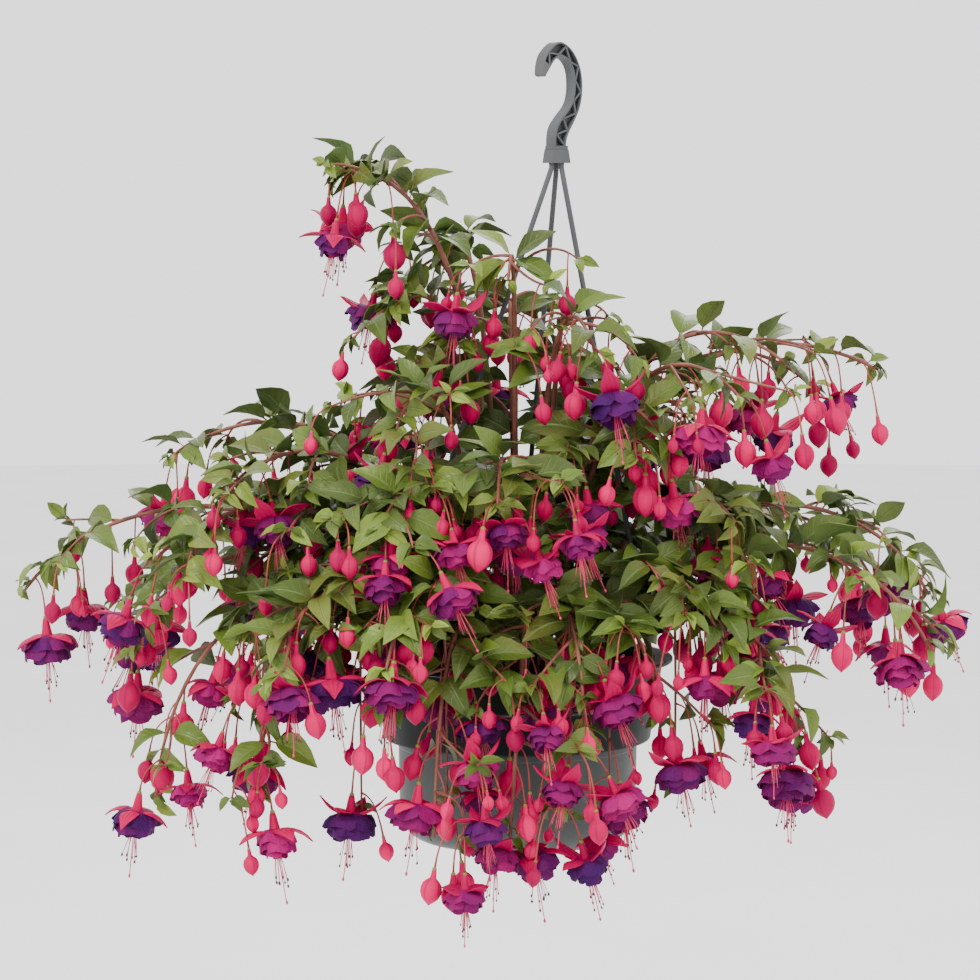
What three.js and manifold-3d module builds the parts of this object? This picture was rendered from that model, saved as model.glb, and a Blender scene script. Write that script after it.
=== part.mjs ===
// A double fuchsia in a plastic hanging pot, on a three-strand hanger with a moulded hook.
// Millimetres, +Z up. The origin is the seat in the top of the hook, where the hook bears on its support.
import * as THREE from 'three';
import { mergeVertices } from 'three/addons/utils/BufferGeometryUtils.js';
import Module from 'manifold-3d';

const wasm = await Module();
wasm.setup();

// ---------- driving dimensions ----------

const GAP = 0.3; // between pieces that touch
const CUT_LENGTH = 16; // of the cutters that go right through a wall

const POT_X = -31; // the pot's axis hangs a little to the left of the hook's seat
const RIM_Z = -484; // top of the rim
const ROUND = 18; // sides on the pot, the reservoir and the soil

const POT = {
  rimR: 126,
  rimInnerR: 111.5,
  rimDepth: 3.5,
  wallTopR: 117,
  ledgeR: 108,
  lineDepth: 33, // the thin moulded line, below the rim
  ledgeDepth: 67,
  lowerTopR: 93,
  lowerFootR: 88,
  footR: 70,
  chamferDepth: 124,
  depth: 147,
  wall: 2.4,
  lineProud: 1.2,
  lineHeight: 1.4,
};
const DRAIN = { turns: [30, 150, 270], share: 0.6, r: 4, sides: 5 };

const RESERVOIR = { topR: 97.5, cornerR: 24, wall: 2.4, depth: 150 };

const SOIL_DEPTH = 12; // soil surface, below the rim
const HOLE_DEPTH = 10; // how far a stem stands in the soil
const STEM_FREE = 8; // straight stretch of a stem above the soil

const STRAND = {
  r: 2.4,
  seatR: 4.6,
  rimR: 121.6,
  sides: 6,
  straight: 11,
  knobR: 3.9,
  knobLength: 5,
  below: 2,
};
const STRANDS = { left: 210, right: 330, back: 90 }; // directions round the pot, in degrees

const HOOK = { depth: 14, turn: 30, steps: 12, pockets: 10, pocketDepth: 5.2, flange: 1.5, plain: 0.06 };
const BLOCK = { top: -71, bottom: -85, width: 16, flare: 1.2, shoulder: 2, socket: 8 };

// Flower and bud sizes, along the axis from the pedicel's end.
const BLOOM = {
  sepalTop: 15,
  throat: 18.5,
  sepal: 30,
  skirt: 22,
  skirtDepth: 29,
  inner: 13.5,
  innerDepth: 39,
  pistil: 72,
};
const BUD = { neck: 2.3, neckDepth: 5, belly: 8.4, bellyDepth: 18, length: 28 };

// One row per stem: direction round the pot in degrees, reach from the pot's axis, height of the crest and
// of the tip above the rim, blooms, buds, pairs of leaves.
const STEMS = [
  [183, 398, 122, 56, 2, 2, 3],
  [197, 318, 92, 12, 2, 1, 3],
  [171, 288, 178, 158, 1, 1, 3],
  [207, 262, 165, 140, 2, 1, 2],
  [203, 312, 128, 88, 1, 2, 3],
  [204, 312, 60, -98, 2, 1, 1],
  [220, 268, 50, -84, 2, 1, 1],
  [227, 286, 78, 2, 2, 1, 2],
  [246, 250, 76, 12, 2, 1, 2],
  [253, 222, 42, -112, 2, 1, 1],
  [268, 212, 40, -116, 2, 2, 1],
  [240, 214, 142, 118, 2, 1, 2],
  [265, 192, 164, 138, 2, 1, 2],
  [284, 208, 60, -32, 2, 1, 1],
  [303, 204, 56, -28, 1, 2, 1],
  [314, 230, 84, 24, 2, 1, 2],
  [325, 268, 60, -54, 2, 2, 2],
  [342, 340, 98, 18, 2, 1, 3],
  [353, 332, 124, 54, 2, 2, 3],
  [324, 214, 226, 216, 2, 1, 3],
  [13, 252, 232, 212, 2, 1, 3],
  [337, 196, 132, 96, 2, 1, 2],
  [313, 168, 196, 180, 1, 1, 2],
  [351, 216, 246, 240, 0, 3, 3],
  [1, 292, 236, 232, 0, 3, 3],
  [188, 151, 344, 392, 2, 3, 4],
  [262, 58, 300, 306, 0, 1, 3],
  [150, 74, 306, 316, 0, 1, 3],
  [178, 104, 272, 276, 0, 1, 3],
  [318, 62, 262, 250, 0, 2, 2],
  [232, 156, 208, 190, 1, 1, 2],
  [296, 138, 262, 250, 1, 1, 3],
  [21, 330, 112, 30, 1, 1, 2],
  [45, 302, 84, -40, 2, 1, 2],
  [68, 312, 112, 24, 1, 1, 2],
  [92, 286, 74, -58, 2, 1, 2],
  [114, 312, 108, 18, 1, 1, 2],
  [137, 300, 84, -48, 2, 1, 2],
  [157, 326, 112, 22, 1, 1, 3],
  [60, 190, 204, 180, 1, 1, 2],
  [122, 196, 206, 182, 1, 1, 2],
  [92, 116, 268, 256, 1, 1, 2],
];

const STEM = { rootR: 3, tipR: 1.6, segments: 5, sides: 3 };
const LEAF = { longest: 54, shortest: 38, width: 0.42, thickness: 1.1, trough: 0.14 };
const PEDICEL = { r: 0.95, rootR: 0.5 };
const CLEAR = 2; // extra room kept between one stem's growth and another's
const OWN_ROOM = { bloom: -6, bud: -1, leaf: -2 }; // the same, kept between growths of one stem
const TRIES = 26; // places tried for a leaf, bud or bloom before it is left out
const BALL_STEP = 6; // between the balls that mark a rod's room
const SEED = 4021;

const COLOUR = {
  pot: 0x3d4844,
  reservoir: 0x6d7673,
  soil: 0x2e2620,
  hook: 0x7b7d80,
  strand: 0x6c6e71,
  leaf: 0x4f7a38,
  bloom: 0xb3243f,
};
const ROUGHNESS = { pot: 0.5, soil: 1, hanger: 0.45, growth: 0.55 };

// ---------- seeded draws and vectors ----------

let state = SEED;

function draw(low, high) {
  state = (Math.imul(state, 1664525) + 1013904223) >>> 0;
  return low + ((high - low) * state) / 4294967296;
}

const rad = (degrees) => (degrees * Math.PI) / 180;
const add = (a, b, k = 1) => [a[0] + b[0] * k, a[1] + b[1] * k, a[2] + b[2] * k];
const dot = (a, b) => a[0] * b[0] + a[1] * b[1] + a[2] * b[2];
const cross = (a, b) => [
  a[1] * b[2] - a[2] * b[1],
  a[2] * b[0] - a[0] * b[2],
  a[0] * b[1] - a[1] * b[0],
];
const scaled = (a, k) => [a[0] * k, a[1] * k, a[2] * k];
const unit = (a) => scaled(a, 1 / Math.sqrt(dot(a, a)));
const mix = (a, b, t) => add(scaled(a, 1 - t), b, t);
const UP = [0, 0, 1];
const outwardFrom = ({ turn }) => [Math.cos(rad(turn)), Math.sin(rad(turn)), 0];

// A point round the pot's axis, with its height measured from the rim.
function polar(degrees, radius, height) {
  return [POT_X + radius * Math.cos(rad(degrees)), radius * Math.sin(rad(degrees)), RIM_Z + height];
}

// ---------- solids ----------

// Turns a closed geometry into a solid, with its faces pointing out.
function solid(geometry) {
  const bare = geometry.index ? geometry : geometry.clone();
  bare.deleteAttribute('normal');
  bare.deleteAttribute('uv');
  const merged = mergeVertices(bare, 1e-3);
  const at = merged.attributes.position.array;
  const index = Array.from(merged.index.array);
  const faces = [];
  let volume = 0;
  for (let i = 0; i < index.length; i += 3) {
    const [a, b, c] = [index[i], index[i + 1], index[i + 2]];
    if (a === b || b === c || a === c) continue;
    faces.push([a, b, c]);
    const [p, q, r] = [a, b, c].map((k) => [at[3 * k], at[3 * k + 1], at[3 * k + 2]]);
    volume += dot(p, cross(q, r));
  }
  const turned = volume < 0 ? faces.map(([a, b, c]) => [a, c, b]) : faces;
  return new wasm.Manifold(
    new wasm.Mesh({
      numProp: 3,
      vertProperties: new Float32Array(at),
      triVerts: new Uint32Array(turned.flat()),
    }),
  );
}

function fused(solids) {
  let row = solids;
  while (row.length > 1) {
    const next = [];
    for (let i = 0; i < row.length; i += 2) {
      next.push(i + 1 < row.length ? row[i].add(row[i + 1]) : row[i]);
    }
    row = next;
  }
  return row[0];
}

function cut(body, tools) {
  return tools.reduce((left, tool) => left.subtract(tool), body);
}

// A closed shape given by its corners and its triangles.
function polyhedron(corners, triangles) {
  const geometry = new THREE.BufferGeometry();
  geometry.setAttribute('position', new THREE.BufferAttribute(new Float32Array(corners.flat()), 3));
  geometry.setIndex(triangles.flat());
  return geometry;
}

// A round profile of [radius, height] pairs, turned about +Z.
function turned(profile, sides) {
  const points = profile.map(([r, z]) => new THREE.Vector2(r, z));
  return new THREE.LatheGeometry(points, sides).rotateX(Math.PI / 2);
}

// A rod along points with a radius at each: a cylinder whose rings are moved onto the points.
function rod(points, radii, sides, side) {
  const last = points.length - 1;
  const geometry = new THREE.CylinderGeometry(1, 1, 2, sides, last);
  const frames = rodFrames(points, side);
  const at = geometry.attributes.position;
  for (let i = 0; i < at.count; i += 1) {
    const ring = Math.round(((1 - at.getY(i)) / 2) * last);
    const { across, over } = frames[ring];
    const reach = radii[ring];
    const p = add(add(points[ring], across, at.getX(i) * reach), over, at.getZ(i) * reach);
    at.setXYZ(i, p[0], p[1], p[2]);
  }
  return geometry;
}

// Two directions square to a path at each of its points, carried along so that the rod doesn't twist.
function rodFrames(points, side) {
  let across = side;
  return points.map((point, i) => {
    const before = points[Math.max(i - 1, 0)];
    const after = points[Math.min(i + 1, points.length - 1)];
    const along = unit(add(after, before, -1));
    across = unit(add(across, along, -dot(across, along)));
    return { across, over: cross(along, across) };
  });
}

const parts = new THREE.Group();

function part(name, body, colour, roughness) {
  const mesh = body.getMesh();
  const corners = new Float32Array((mesh.vertProperties.length / mesh.numProp) * 3);
  for (let i = 0; i < corners.length / 3; i += 1) {
    for (let k = 0; k < 3; k += 1) corners[3 * i + k] = mesh.vertProperties[mesh.numProp * i + k];
  }
  const geometry = new THREE.BufferGeometry();
  geometry.setAttribute('position', new THREE.BufferAttribute(corners, 3));
  geometry.setIndex(Array.from(mesh.triVerts));
  const material = new THREE.MeshStandardMaterial({ color: colour, roughness, metalness: 0 });
  const node = new THREE.Mesh(geometry, material);
  node.name = name;
  parts.add(node);
}

// ---------- pot, reservoir and soil ----------

function pot() {
  const outside = [
    [0, -POT.depth],
    [POT.footR, -POT.depth],
    [POT.lowerFootR, -POT.chamferDepth],
    [POT.lowerTopR, -POT.ledgeDepth],
    [POT.ledgeR, -POT.ledgeDepth],
    [lineR() - 0.1, -POT.lineDepth - POT.lineHeight],
    [lineR() + POT.lineProud, -POT.lineDepth],
    [POT.wallTopR, -POT.rimDepth],
    [POT.rimR, -POT.rimDepth],
    [POT.rimR, 0],
    [POT.rimInnerR, 0],
  ];
  const inside = [
    [POT.ledgeR - POT.wall, -POT.ledgeDepth + POT.wall],
    [POT.lowerTopR - POT.wall, -POT.ledgeDepth + POT.wall],
    [POT.lowerFootR - POT.wall, -POT.chamferDepth + 1],
    [POT.footR - POT.wall, -POT.depth + POT.wall],
    [0, -POT.depth + POT.wall],
  ];
  const body = solid(turned([...outside, ...inside], ROUND).translate(POT_X, 0, RIM_Z));
  const slots = Object.values(STRANDS).map((turn) => hole(turn, STRAND.rimR, 0, STRAND.r + GAP + 0.15, 8));
  const drains = DRAIN.turns.map((turn) => {
    return hole(turn, POT.footR * DRAIN.share, -POT.depth, DRAIN.r, DRAIN.sides);
  });
  return cut(body, [...slots, ...drains]);
}

// The outside wall's radius at the moulded line.
function lineR() {
  const share = (POT.lineDepth - POT.rimDepth) / (POT.ledgeDepth - POT.rimDepth);
  return POT.wallTopR + (POT.ledgeR - POT.wallTopR) * share;
}

// An upright cutting cylinder through a wall at a height from the rim, in a direction round the pot.
function hole(turn, reach, height, radius, sides) {
  const geometry = new THREE.CylinderGeometry(radius, radius, CUT_LENGTH, sides).rotateX(Math.PI / 2);
  return solid(geometry.translate(...polar(turn, reach, height)));
}

function reservoir() {
  const top = -POT.ledgeDepth - GAP;
  const arc = (radius) =>
    [85, 42, 0].map((turn) => [
      RESERVOIR.topR - RESERVOIR.cornerR + radius * Math.sin(rad(turn)) - 1.5,
      -RESERVOIR.depth + RESERVOIR.cornerR - radius * Math.cos(rad(turn)),
    ]);
  const outer = arc(RESERVOIR.cornerR);
  const inner = arc(RESERVOIR.cornerR - RESERVOIR.wall);
  const profile = [
    [0, -RESERVOIR.depth],
    ...outer.reverse(),
    [RESERVOIR.topR, top],
    [RESERVOIR.topR - RESERVOIR.wall, top],
    ...inner,
    [0, -RESERVOIR.depth + RESERVOIR.wall],
  ];
  return solid(turned(profile, ROUND).translate(POT_X, 0, RIM_Z));
}

function soil() {
  const slack = POT.wall + GAP + 0.3;
  const floor = -POT.depth + POT.wall + GAP;
  const ledge = -POT.ledgeDepth + POT.wall + GAP;
  const profile = [
    [0, floor],
    [POT.footR - slack - 0.6, floor],
    [POT.lowerFootR - slack, -POT.chamferDepth + 1.6],
    [POT.lowerTopR - slack, ledge],
    [POT.ledgeR - slack, ledge],
    [POT.rimInnerR - 2.2, -SOIL_DEPTH],
    [0, -SOIL_DEPTH],
  ];
  const body = solid(turned(profile, ROUND).translate(POT_X, 0, RIM_Z));
  return cut(body, stems.map(stemHole));
}

// The hole that a stem stands in: the stem's own three-sided section with the gap round it.
function stemHole(stem) {
  const [x, y, z] = stem.root;
  const radius = STEM.rootR + GAP / Math.cos(Math.PI / STEM.sides) + 0.1;
  const line = [[x, y, z - GAP], [x, y, z + HOLE_DEPTH + 5]];
  return solid(rod(line, [radius, radius], STEM.sides, outwardFrom(stem)));
}

// ---------- hook and strands ----------

// Inner and outer edges of the hook in its own plane, from the tip round to the neck.
const HOOK_INNER = [
  [-14.6, -16.2],
  [-10.2, -9],
  [-5.2, -2.4],
  [0, 0],
  [6.4, -2.6],
  [11.2, -9.6],
  [12.8, -19],
  [12.4, -29.5],
  [9.6, -38.5],
  [2.6, -47],
  [-3.4, -55],
  [-5.6, -63],
  [-5.8, BLOCK.top - 1],
];
const HOOK_OUTER = [
  [-16.6, -14.6],
  [-15.8, -5],
  [-11.6, 4],
  [-1.5, 11.8],
  [9.2, 6.6],
  [16.6, -4.6],
  [19.8, -17],
  [19.9, -30.5],
  [17.4, -41.5],
  [13, -51],
  [8.4, -59],
  [5.6, -66],
  [4.8, BLOCK.top - 1],
];

// The hook's plane turns about the upright through the seat.
function hookTurned(geometry) {
  return geometry.rotateX(Math.PI / 2).rotateZ(rad(HOOK.turn));
}

function slab(outline, from, to) {
  const shape = new THREE.Shape(outline.map(([x, z]) => new THREE.Vector2(x, z)));
  const geometry = new THREE.ExtrudeGeometry(shape, { depth: to - from, bevelEnabled: false });
  return solid(hookTurned(geometry.translate(0, 0, from)));
}

function edgeCurve(edge) {
  const curve = new THREE.CatmullRomCurve3(edge.map(([x, z]) => new THREE.Vector3(x, 0, z)));
  return (t) => {
    const p = curve.getPoint(t);
    return [p.x, p.z];
  };
}

// A triangle drawn in from its sides, about its incentre.
function drawnIn(corners, by) {
  const far = (p, q) => Math.hypot(p[0] - q[0], p[1] - q[1]);
  const [a, b, c] = corners;
  const sides = [far(b, c), far(c, a), far(a, b)];
  const round = sides[0] + sides[1] + sides[2];
  const centre = [0, 1].map((k) => (sides[0] * a[k] + sides[1] * b[k] + sides[2] * c[k]) / round);
  const area = Math.abs((b[0] - a[0]) * (c[1] - a[1]) - (c[0] - a[0]) * (b[1] - a[1])) / 2;
  const share = 1 - by / ((2 * area) / round);
  return corners.map((p) => [0, 1].map((k) => centre[k] + (p[k] - centre[k]) * share));
}

// The hook's band, with zigzag pockets sunk into both its faces, and its block.
function hook() {
  const inner = edgeCurve(HOOK_INNER);
  const outer = edgeCurve(HOOK_OUTER);
  const outline = [];
  for (let i = 0; i <= HOOK.steps; i += 1) outline.push(inner(i / HOOK.steps));
  for (let i = HOOK.steps; i >= 0; i -= 1) outline.push(outer(i / HOOK.steps));
  const half = HOOK.depth / 2;
  const band = slab(outline, -half, half);
  const pockets = [];
  const t = (k) => HOOK.plain + ((1 - 2 * HOOK.plain) * k) / (HOOK.pockets + 1);
  for (let i = 0; i < HOOK.pockets; i += 1) {
    const [near, far] = i % 2 ? [inner, outer] : [outer, inner];
    const corners = drawnIn([near(t(i)), far(t(i + 1)), near(t(i + 2))], HOOK.flange);
    pockets.push(slab(corners, half - HOOK.pocketDepth, half + 1));
    pockets.push(slab(corners, -half - 1, HOOK.pocketDepth - half));
  }
  const ribbed = cut(band, pockets);
  return cut(ribbed.add(block()), Object.values(STRANDS).map(socket));
}

// The flared block at the hook's foot, which holds the three strands.
function block() {
  const half = BLOCK.width / 2;
  const outline = [
    [-half + 1, BLOCK.top],
    [half - 1, BLOCK.top],
    [half, BLOCK.top - BLOCK.shoulder],
    [half + BLOCK.flare, BLOCK.bottom],
    [-half - BLOCK.flare, BLOCK.bottom],
    [-half, BLOCK.top - BLOCK.shoulder],
  ];
  return slab(outline, -half - BLOCK.flare, half + BLOCK.flare);
}

function strandTop(turn) {
  return [STRAND.seatR * Math.cos(rad(turn)), STRAND.seatR * Math.sin(rad(turn))];
}

function socket(turn) {
  const radius = STRAND.r / Math.cos(Math.PI / 6) + GAP + 0.05;
  const geometry = new THREE.CylinderGeometry(radius, radius, BLOCK.socket + 5, 6).rotateX(Math.PI / 2);
  const [x, y] = strandTop(turn);
  return solid(geometry.translate(x, y, BLOCK.bottom + BLOCK.socket - (BLOCK.socket + 5) / 2));
}

// A strand: straight down out of its socket, slanting to the rim, straight through the rim's hole.
function strandPath(turn) {
  const [x, y] = strandTop(turn);
  const foot = polar(turn, STRAND.rimR, 0);
  const top = [x, y, BLOCK.bottom - 4];
  const bend = [foot[0], foot[1], RIM_Z + STRAND.straight];
  return [
    [x, y, BLOCK.bottom + BLOCK.socket - GAP],
    top,
    mix(top, bend, 0.25),
    mix(top, bend, 0.6),
    bend,
    [foot[0], foot[1], RIM_Z - POT.rimDepth - STRAND.below],
  ];
}

function strand(turn) {
  const path = strandPath(turn);
  const shaft = solid(rod(path, path.map(() => STRAND.r), STRAND.sides, [1, 0, 0]));
  const [x, y] = path[path.length - 1];
  const knob = new THREE.CylinderGeometry(STRAND.knobR, STRAND.r, STRAND.knobLength, STRAND.sides);
  const top = RIM_Z - POT.rimDepth - GAP;
  return shaft.add(solid(knob.rotateX(Math.PI / 2).translate(x, y, top - STRAND.knobLength / 2)));
}

// ---------- stems: their lines, and the room each piece of growth takes ----------

// A stem that crests high starts nearer the pot's axis, and one that falls far keeps out before it falls.
const stems = STEMS.map(([turn, reach, crest, tip, blooms, buds, pairs]) => {
  const rootR = Math.min(90, Math.max(8, 97 - 0.26 * crest));
  const height = -SOIL_DEPTH + STEM_FREE;
  const bend = (8 * crest - height - tip) / 6;
  const sway = (crest * 7 + reach * 3) % 17 - 8;
  const trailing = Math.min(1, Math.max(0, (crest - tip) / 140));
  const span = reach - rootR;
  const handles = [
    polar(turn, rootR, height),
    polar(turn + sway, rootR + 0.16 * span, bend),
    polar(turn + sway * 0.5, rootR + (0.66 + 0.28 * trailing) * span, bend),
    polar(turn, reach, tip),
  ];
  const curve = new THREE.CubicBezierCurve3(...handles.map((p) => new THREE.Vector3(...p)));
  const line = curve.getPoints(STEM.segments).map((p) => p.toArray());
  const root = polar(turn, rootR, -SOIL_DEPTH - HOLE_DEPTH);
  return { turn, line, root, blooms, buds, pairs, growth: [] };
});

// The point and the direction at a share of the way along a stem.
function along(stem, share) {
  const place = Math.min(share, 0.9999) * STEM.segments;
  const i = Math.floor(place);
  const [from, to] = [stem.line[i], stem.line[i + 1]];
  return { at: mix(from, to, place - i), along: unit(add(to, from, -1)) };
}

const stemRadius = (share) => STEM.rootR + (STEM.tipR - STEM.rootR) * share;

// Taken room is kept as balls, in cells of this size.
const CELL = 28;
const cells = new Map();
const cellOf = (value) => Math.floor(value / CELL);

function take(balls, owner) {
  for (const ball of balls) {
    const key = `${cellOf(ball[0])},${cellOf(ball[1])},${cellOf(ball[2])}`;
    if (!cells.has(key)) cells.set(key, []);
    cells.get(key).push({ ball, owner });
  }
}

function touches(a, b, room) {
  const [x, y, z] = [a[0] - b[0], a[1] - b[1], a[2] - b[2]];
  const reach = a[3] + b[3] + room;
  return x * x + y * y + z * z < reach * reach;
}

// The holder itself: the pot with its rim and the soil in it.
function inHolder([x, y, z, r]) {
  const out = Math.hypot(x - POT_X, y);
  const height = z - RIM_Z;
  if (out < POT.wallTopR - 4) return height < r - SOIL_DEPTH + 2 && height > -RESERVOIR.depth - r;
  return out < POT.rimR + r + 1.5 && height < r + 2 && height > -RESERVOIR.depth - r;
}

// A stem's own line is owned apart from its growth, which starts on it.
const lineOf = (owner) => `line ${owner}`;

function isClear(balls, owner, ownRoom) {
  for (const ball of balls) {
    if (inHolder(ball)) return false;
    for (let i = -1; i <= 1; i += 1) {
      for (let j = -1; j <= 1; j += 1) {
        for (let k = -1; k <= 1; k += 1) {
          const key = `${cellOf(ball[0]) + i},${cellOf(ball[1]) + j},${cellOf(ball[2]) + k}`;
          for (const other of cells.get(key) ?? []) {
            if (other.owner === lineOf(owner)) continue;
            if (touches(ball, other.ball, other.owner === owner ? ownRoom : CLEAR)) return false;
          }
        }
      }
    }
  }
  return true;
}

function rodBalls(points, radii, step) {
  const balls = [];
  for (let i = 0; i + 1 < points.length; i += 1) {
    const length = Math.hypot(...add(points[i + 1], points[i], -1));
    const count = Math.ceil(length / step);
    for (let k = 0; k < count; k += 1) {
      const share = k / count;
      balls.push([...mix(points[i], points[i + 1], share), radii[i] + (radii[i + 1] - radii[i]) * share]);
    }
  }
  balls.push([...points[points.length - 1], radii[radii.length - 1]]);
  return balls;
}

// Directions for one growth: along its length, across it, and out of its upper face.
function facing(lengthwise, face) {
  const out = unit(add(face, lengthwise, -dot(face, lengthwise)));
  return { lengthwise, out, across: cross(out, lengthwise) };
}

const placed = (at, axes, [s, w, h]) =>
  add(add(add(at, axes.lengthwise, s), axes.across, w), axes.out, h);

// ---------- leaves ----------

// The blade's upper line: a low arch and then a drooping tip, as shares of its length.
const arch = (s) => 0.3 * s * (1 - s) - 0.17 * s * s;
const LEAF_OUTLINE = [
  [0.32, 0.5],
  [0.68, 0.36],
];
const LEAF_HEART = 0.46; // where the blade is thickest

function leafAt(stem, pair, side, count) {
  const share = 0.3 + (0.66 * (pair + 0.5)) / count + draw(-0.05, 0.05);
  const { at, along: run } = along(stem, share);
  const level = cross(run, UP);
  const sideways = Math.hypot(...level) > 0.35 ? unit(level) : unit(cross(UP, outwardFrom(stem)));
  const rise = cross(sideways, run);
  const roll = rad((pair % 2 ? 48 : 8) + draw(-24, 30));
  const spread = draw(0.3, 0.75);
  const aim = add(scaled(run, spread), sideways, side * Math.cos(roll));
  const lengthwise = unit(add(aim, rise, Math.sin(roll)));
  const face = add(add(UP, outwardFrom(stem), draw(0.1, 0.7)), sideways, draw(-0.3, 0.3));
  const size = (LEAF.longest - (LEAF.longest - LEAF.shortest) * share * share) * draw(0.86, 1.08);
  return { kind: 'leaf', at, axes: facing(lengthwise, face), size };
}

function leafBalls({ at, axes, size }) {
  const width = size * LEAF.width;
  const spots = [
    [0.22, 0, 3],
    [0.4, 0, 4.5],
    [0.6, 0, 4.5],
    [0.8, 0, 3.5],
    [0.97, 0, 2],
    [0.32, 0.34, 3.5],
    [0.32, -0.34, 3.5],
    [0.6, 0.28, 3.5],
    [0.6, -0.28, 3.5],
  ];
  return spots.map(([s, w, r]) => [...placed(at, axes, [s * size, w * width, arch(s) * size]), r]);
}

function leafSolid({ at, axes, size }) {
  const width = size * LEAF.width;
  const rise = (s, w) => arch(s) * size + Math.abs(w) * LEAF.trough * width;
  const edge = (s, w) => placed(at, axes, [s * size, w * width, rise(s, w)]);
  const [low, high] = LEAF_OUTLINE;
  const outline = [
    edge(0, 0),
    edge(low[0], -low[1]),
    edge(high[0], -high[1]),
    edge(1, 0),
    edge(high[0], high[1]),
    edge(low[0], low[1]),
  ];
  const crown = arch(LEAF_HEART) * size;
  const heart = (side) => placed(at, axes, [LEAF_HEART * size, 0, crown + (side * LEAF.thickness) / 2]);
  const triangles = [];
  for (let i = 0; i < 6; i += 1) {
    const next = (i + 1) % 6;
    triangles.push([6, i, next], [7, next, i]);
  }
  return solid(polyhedron([...outline, heart(1), heart(-1)], triangles));
}

// ---------- buds and blooms ----------

// Where a bud or bloom hangs: out from the stem, then down on its pedicel.
function hangingAt(stem, kind, order) {
  const furthest = (kind === 'bloom' ? 0.965 : 0.945) - 0.04 * order;
  const share = Math.min(furthest, 1 - (kind === 'bloom' ? 0.1 : 0.07) * order + draw(-0.17, 0.02));
  const { at } = along(stem, share);
  const swing = rad(stem.turn + draw(-130, 130));
  const aside = [Math.cos(swing), Math.sin(swing), 0];
  const out = draw(7, 20);
  const drop = kind === 'bloom' ? draw(16, 34) : draw(12, 40);
  const lean = draw(0, kind === 'bloom' ? 0.5 : 0.25);
  const axis = unit([aside[0] * lean, aside[1] * lean, -1]);
  const knee = add(add(at, aside, out), UP, -draw(2, 8));
  const top = add(knee, axis, drop);
  const size = kind === 'bloom' ? draw(0.86, 1.06) : draw(0.7, 1.08);
  return { kind, at, knee, top, axes: hangingAxes(axis, draw(0, 90)), size, lift: draw(-8, 9) };
}

// Axes of a hanging flower: its own +Z points back up the pedicel.
function hangingAxes(axis, spin) {
  const up = scaled(axis, -1);
  const first = unit(cross(up, [Math.cos(rad(spin)), Math.sin(rad(spin)), 0.01]));
  return { lengthwise: first, across: cross(up, first), out: up };
}

function hangingBalls(flower) {
  const { kind, top, axes, size } = flower;
  const stalk = rodBalls([flower.at, flower.knee, top], [1.2, 1.2, 1.2], 7).slice(1);
  const ball = (s, w, h, r) => [...placed(top, axes, [s * size, w * size, h * size]), r * size];
  if (kind === 'bud') return [...stalk, ball(0, 0, -6, 4), ball(0, 0, -16, 8.6), ball(0, 0, -25, 4)];
  const body = [ball(0, 0, -8, 4), ball(0, 0, -28, 20), ball(0, 0, -41, 12)];
  for (const depth of [50, 56, 62, 68]) body.push(ball(0, 0, -depth, 2.5));
  for (let k = 0; k < 4; k += 1) {
    const turn = rad(90 * k);
    for (const [reach, rise, r] of [[15, 0.25, 6], [23, 0.7, 5], [29, 1, 3]]) {
      const z = -BLOOM.throat + 1 + flower.lift * rise;
      body.push(ball(reach * Math.cos(turn), reach * Math.sin(turn), z, r));
    }
  }
  return [...stalk, ...body];
}

// Collects a flower's corners and faces. Rings are listed from the stem down to the flower's tip.
function flowerShape({ top, axes, size }) {
  const corners = [];
  const faces = [];
  const corner = (radius, turn, height) => {
    const p = [radius * Math.cos(rad(turn)), radius * Math.sin(rad(turn)), height];
    corners.push(placed(top, axes, scaled(p, size)));
    return corners.length - 1;
  };
  const ring = (radius, height) => [0, 1, 2, 3].map((k) => corner(radius, 45 + 90 * k, height));
  const wall = (upper, lower) => {
    upper.forEach((a, k) => {
      const n = (k + 1) % upper.length;
      faces.push([lower[k], lower[n], upper[n]], [lower[k], upper[n], a]);
    });
  };
  const point = (upper, tip) => {
    upper.forEach((a, k) => faces.push([tip, upper[(k + 1) % upper.length], a]));
  };
  return { corners, faces, corner, ring, wall, point };
}

// The pedicel: three-sided, from inside its stem over the knee to the flower's head.
function addPedicel(shape, { at, knee, top, axes }, first) {
  const back = unit(add(knee, top, -1));
  const away = unit(add(at, knee, -1));
  const steps = [
    [top, axes.out, PEDICEL.r],
    [knee, unit(add(back, away)), PEDICEL.r],
    [at, away, PEDICEL.rootR],
  ];
  let side = axes.lengthwise;
  const rings = steps.map(([centre, upward, radius]) => {
    side = unit(add(side, upward, -dot(side, upward)));
    const over = cross(upward, side);
    return [45, 165, 285].map((turn) => {
      const reach = add(scaled(side, radius * Math.cos(rad(turn))), over, radius * Math.sin(rad(turn)));
      shape.corners.push(add(centre, reach));
      return shape.corners.length - 1;
    });
  });
  const [head, middle, root] = rings;
  shape.faces.push(root);
  shape.wall(root, middle);
  shape.wall(middle, head);
  const [h0, h1, h2] = head;
  const [n0, n1, n2, n3] = first;
  shape.faces.push([n0, n1, h0], [n1, h1, h0], [n1, n2, h1], [n2, h2, h1]);
  shape.faces.push([n2, n3, h2], [n3, n0, h2], [n0, h0, h2]);
}

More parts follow.
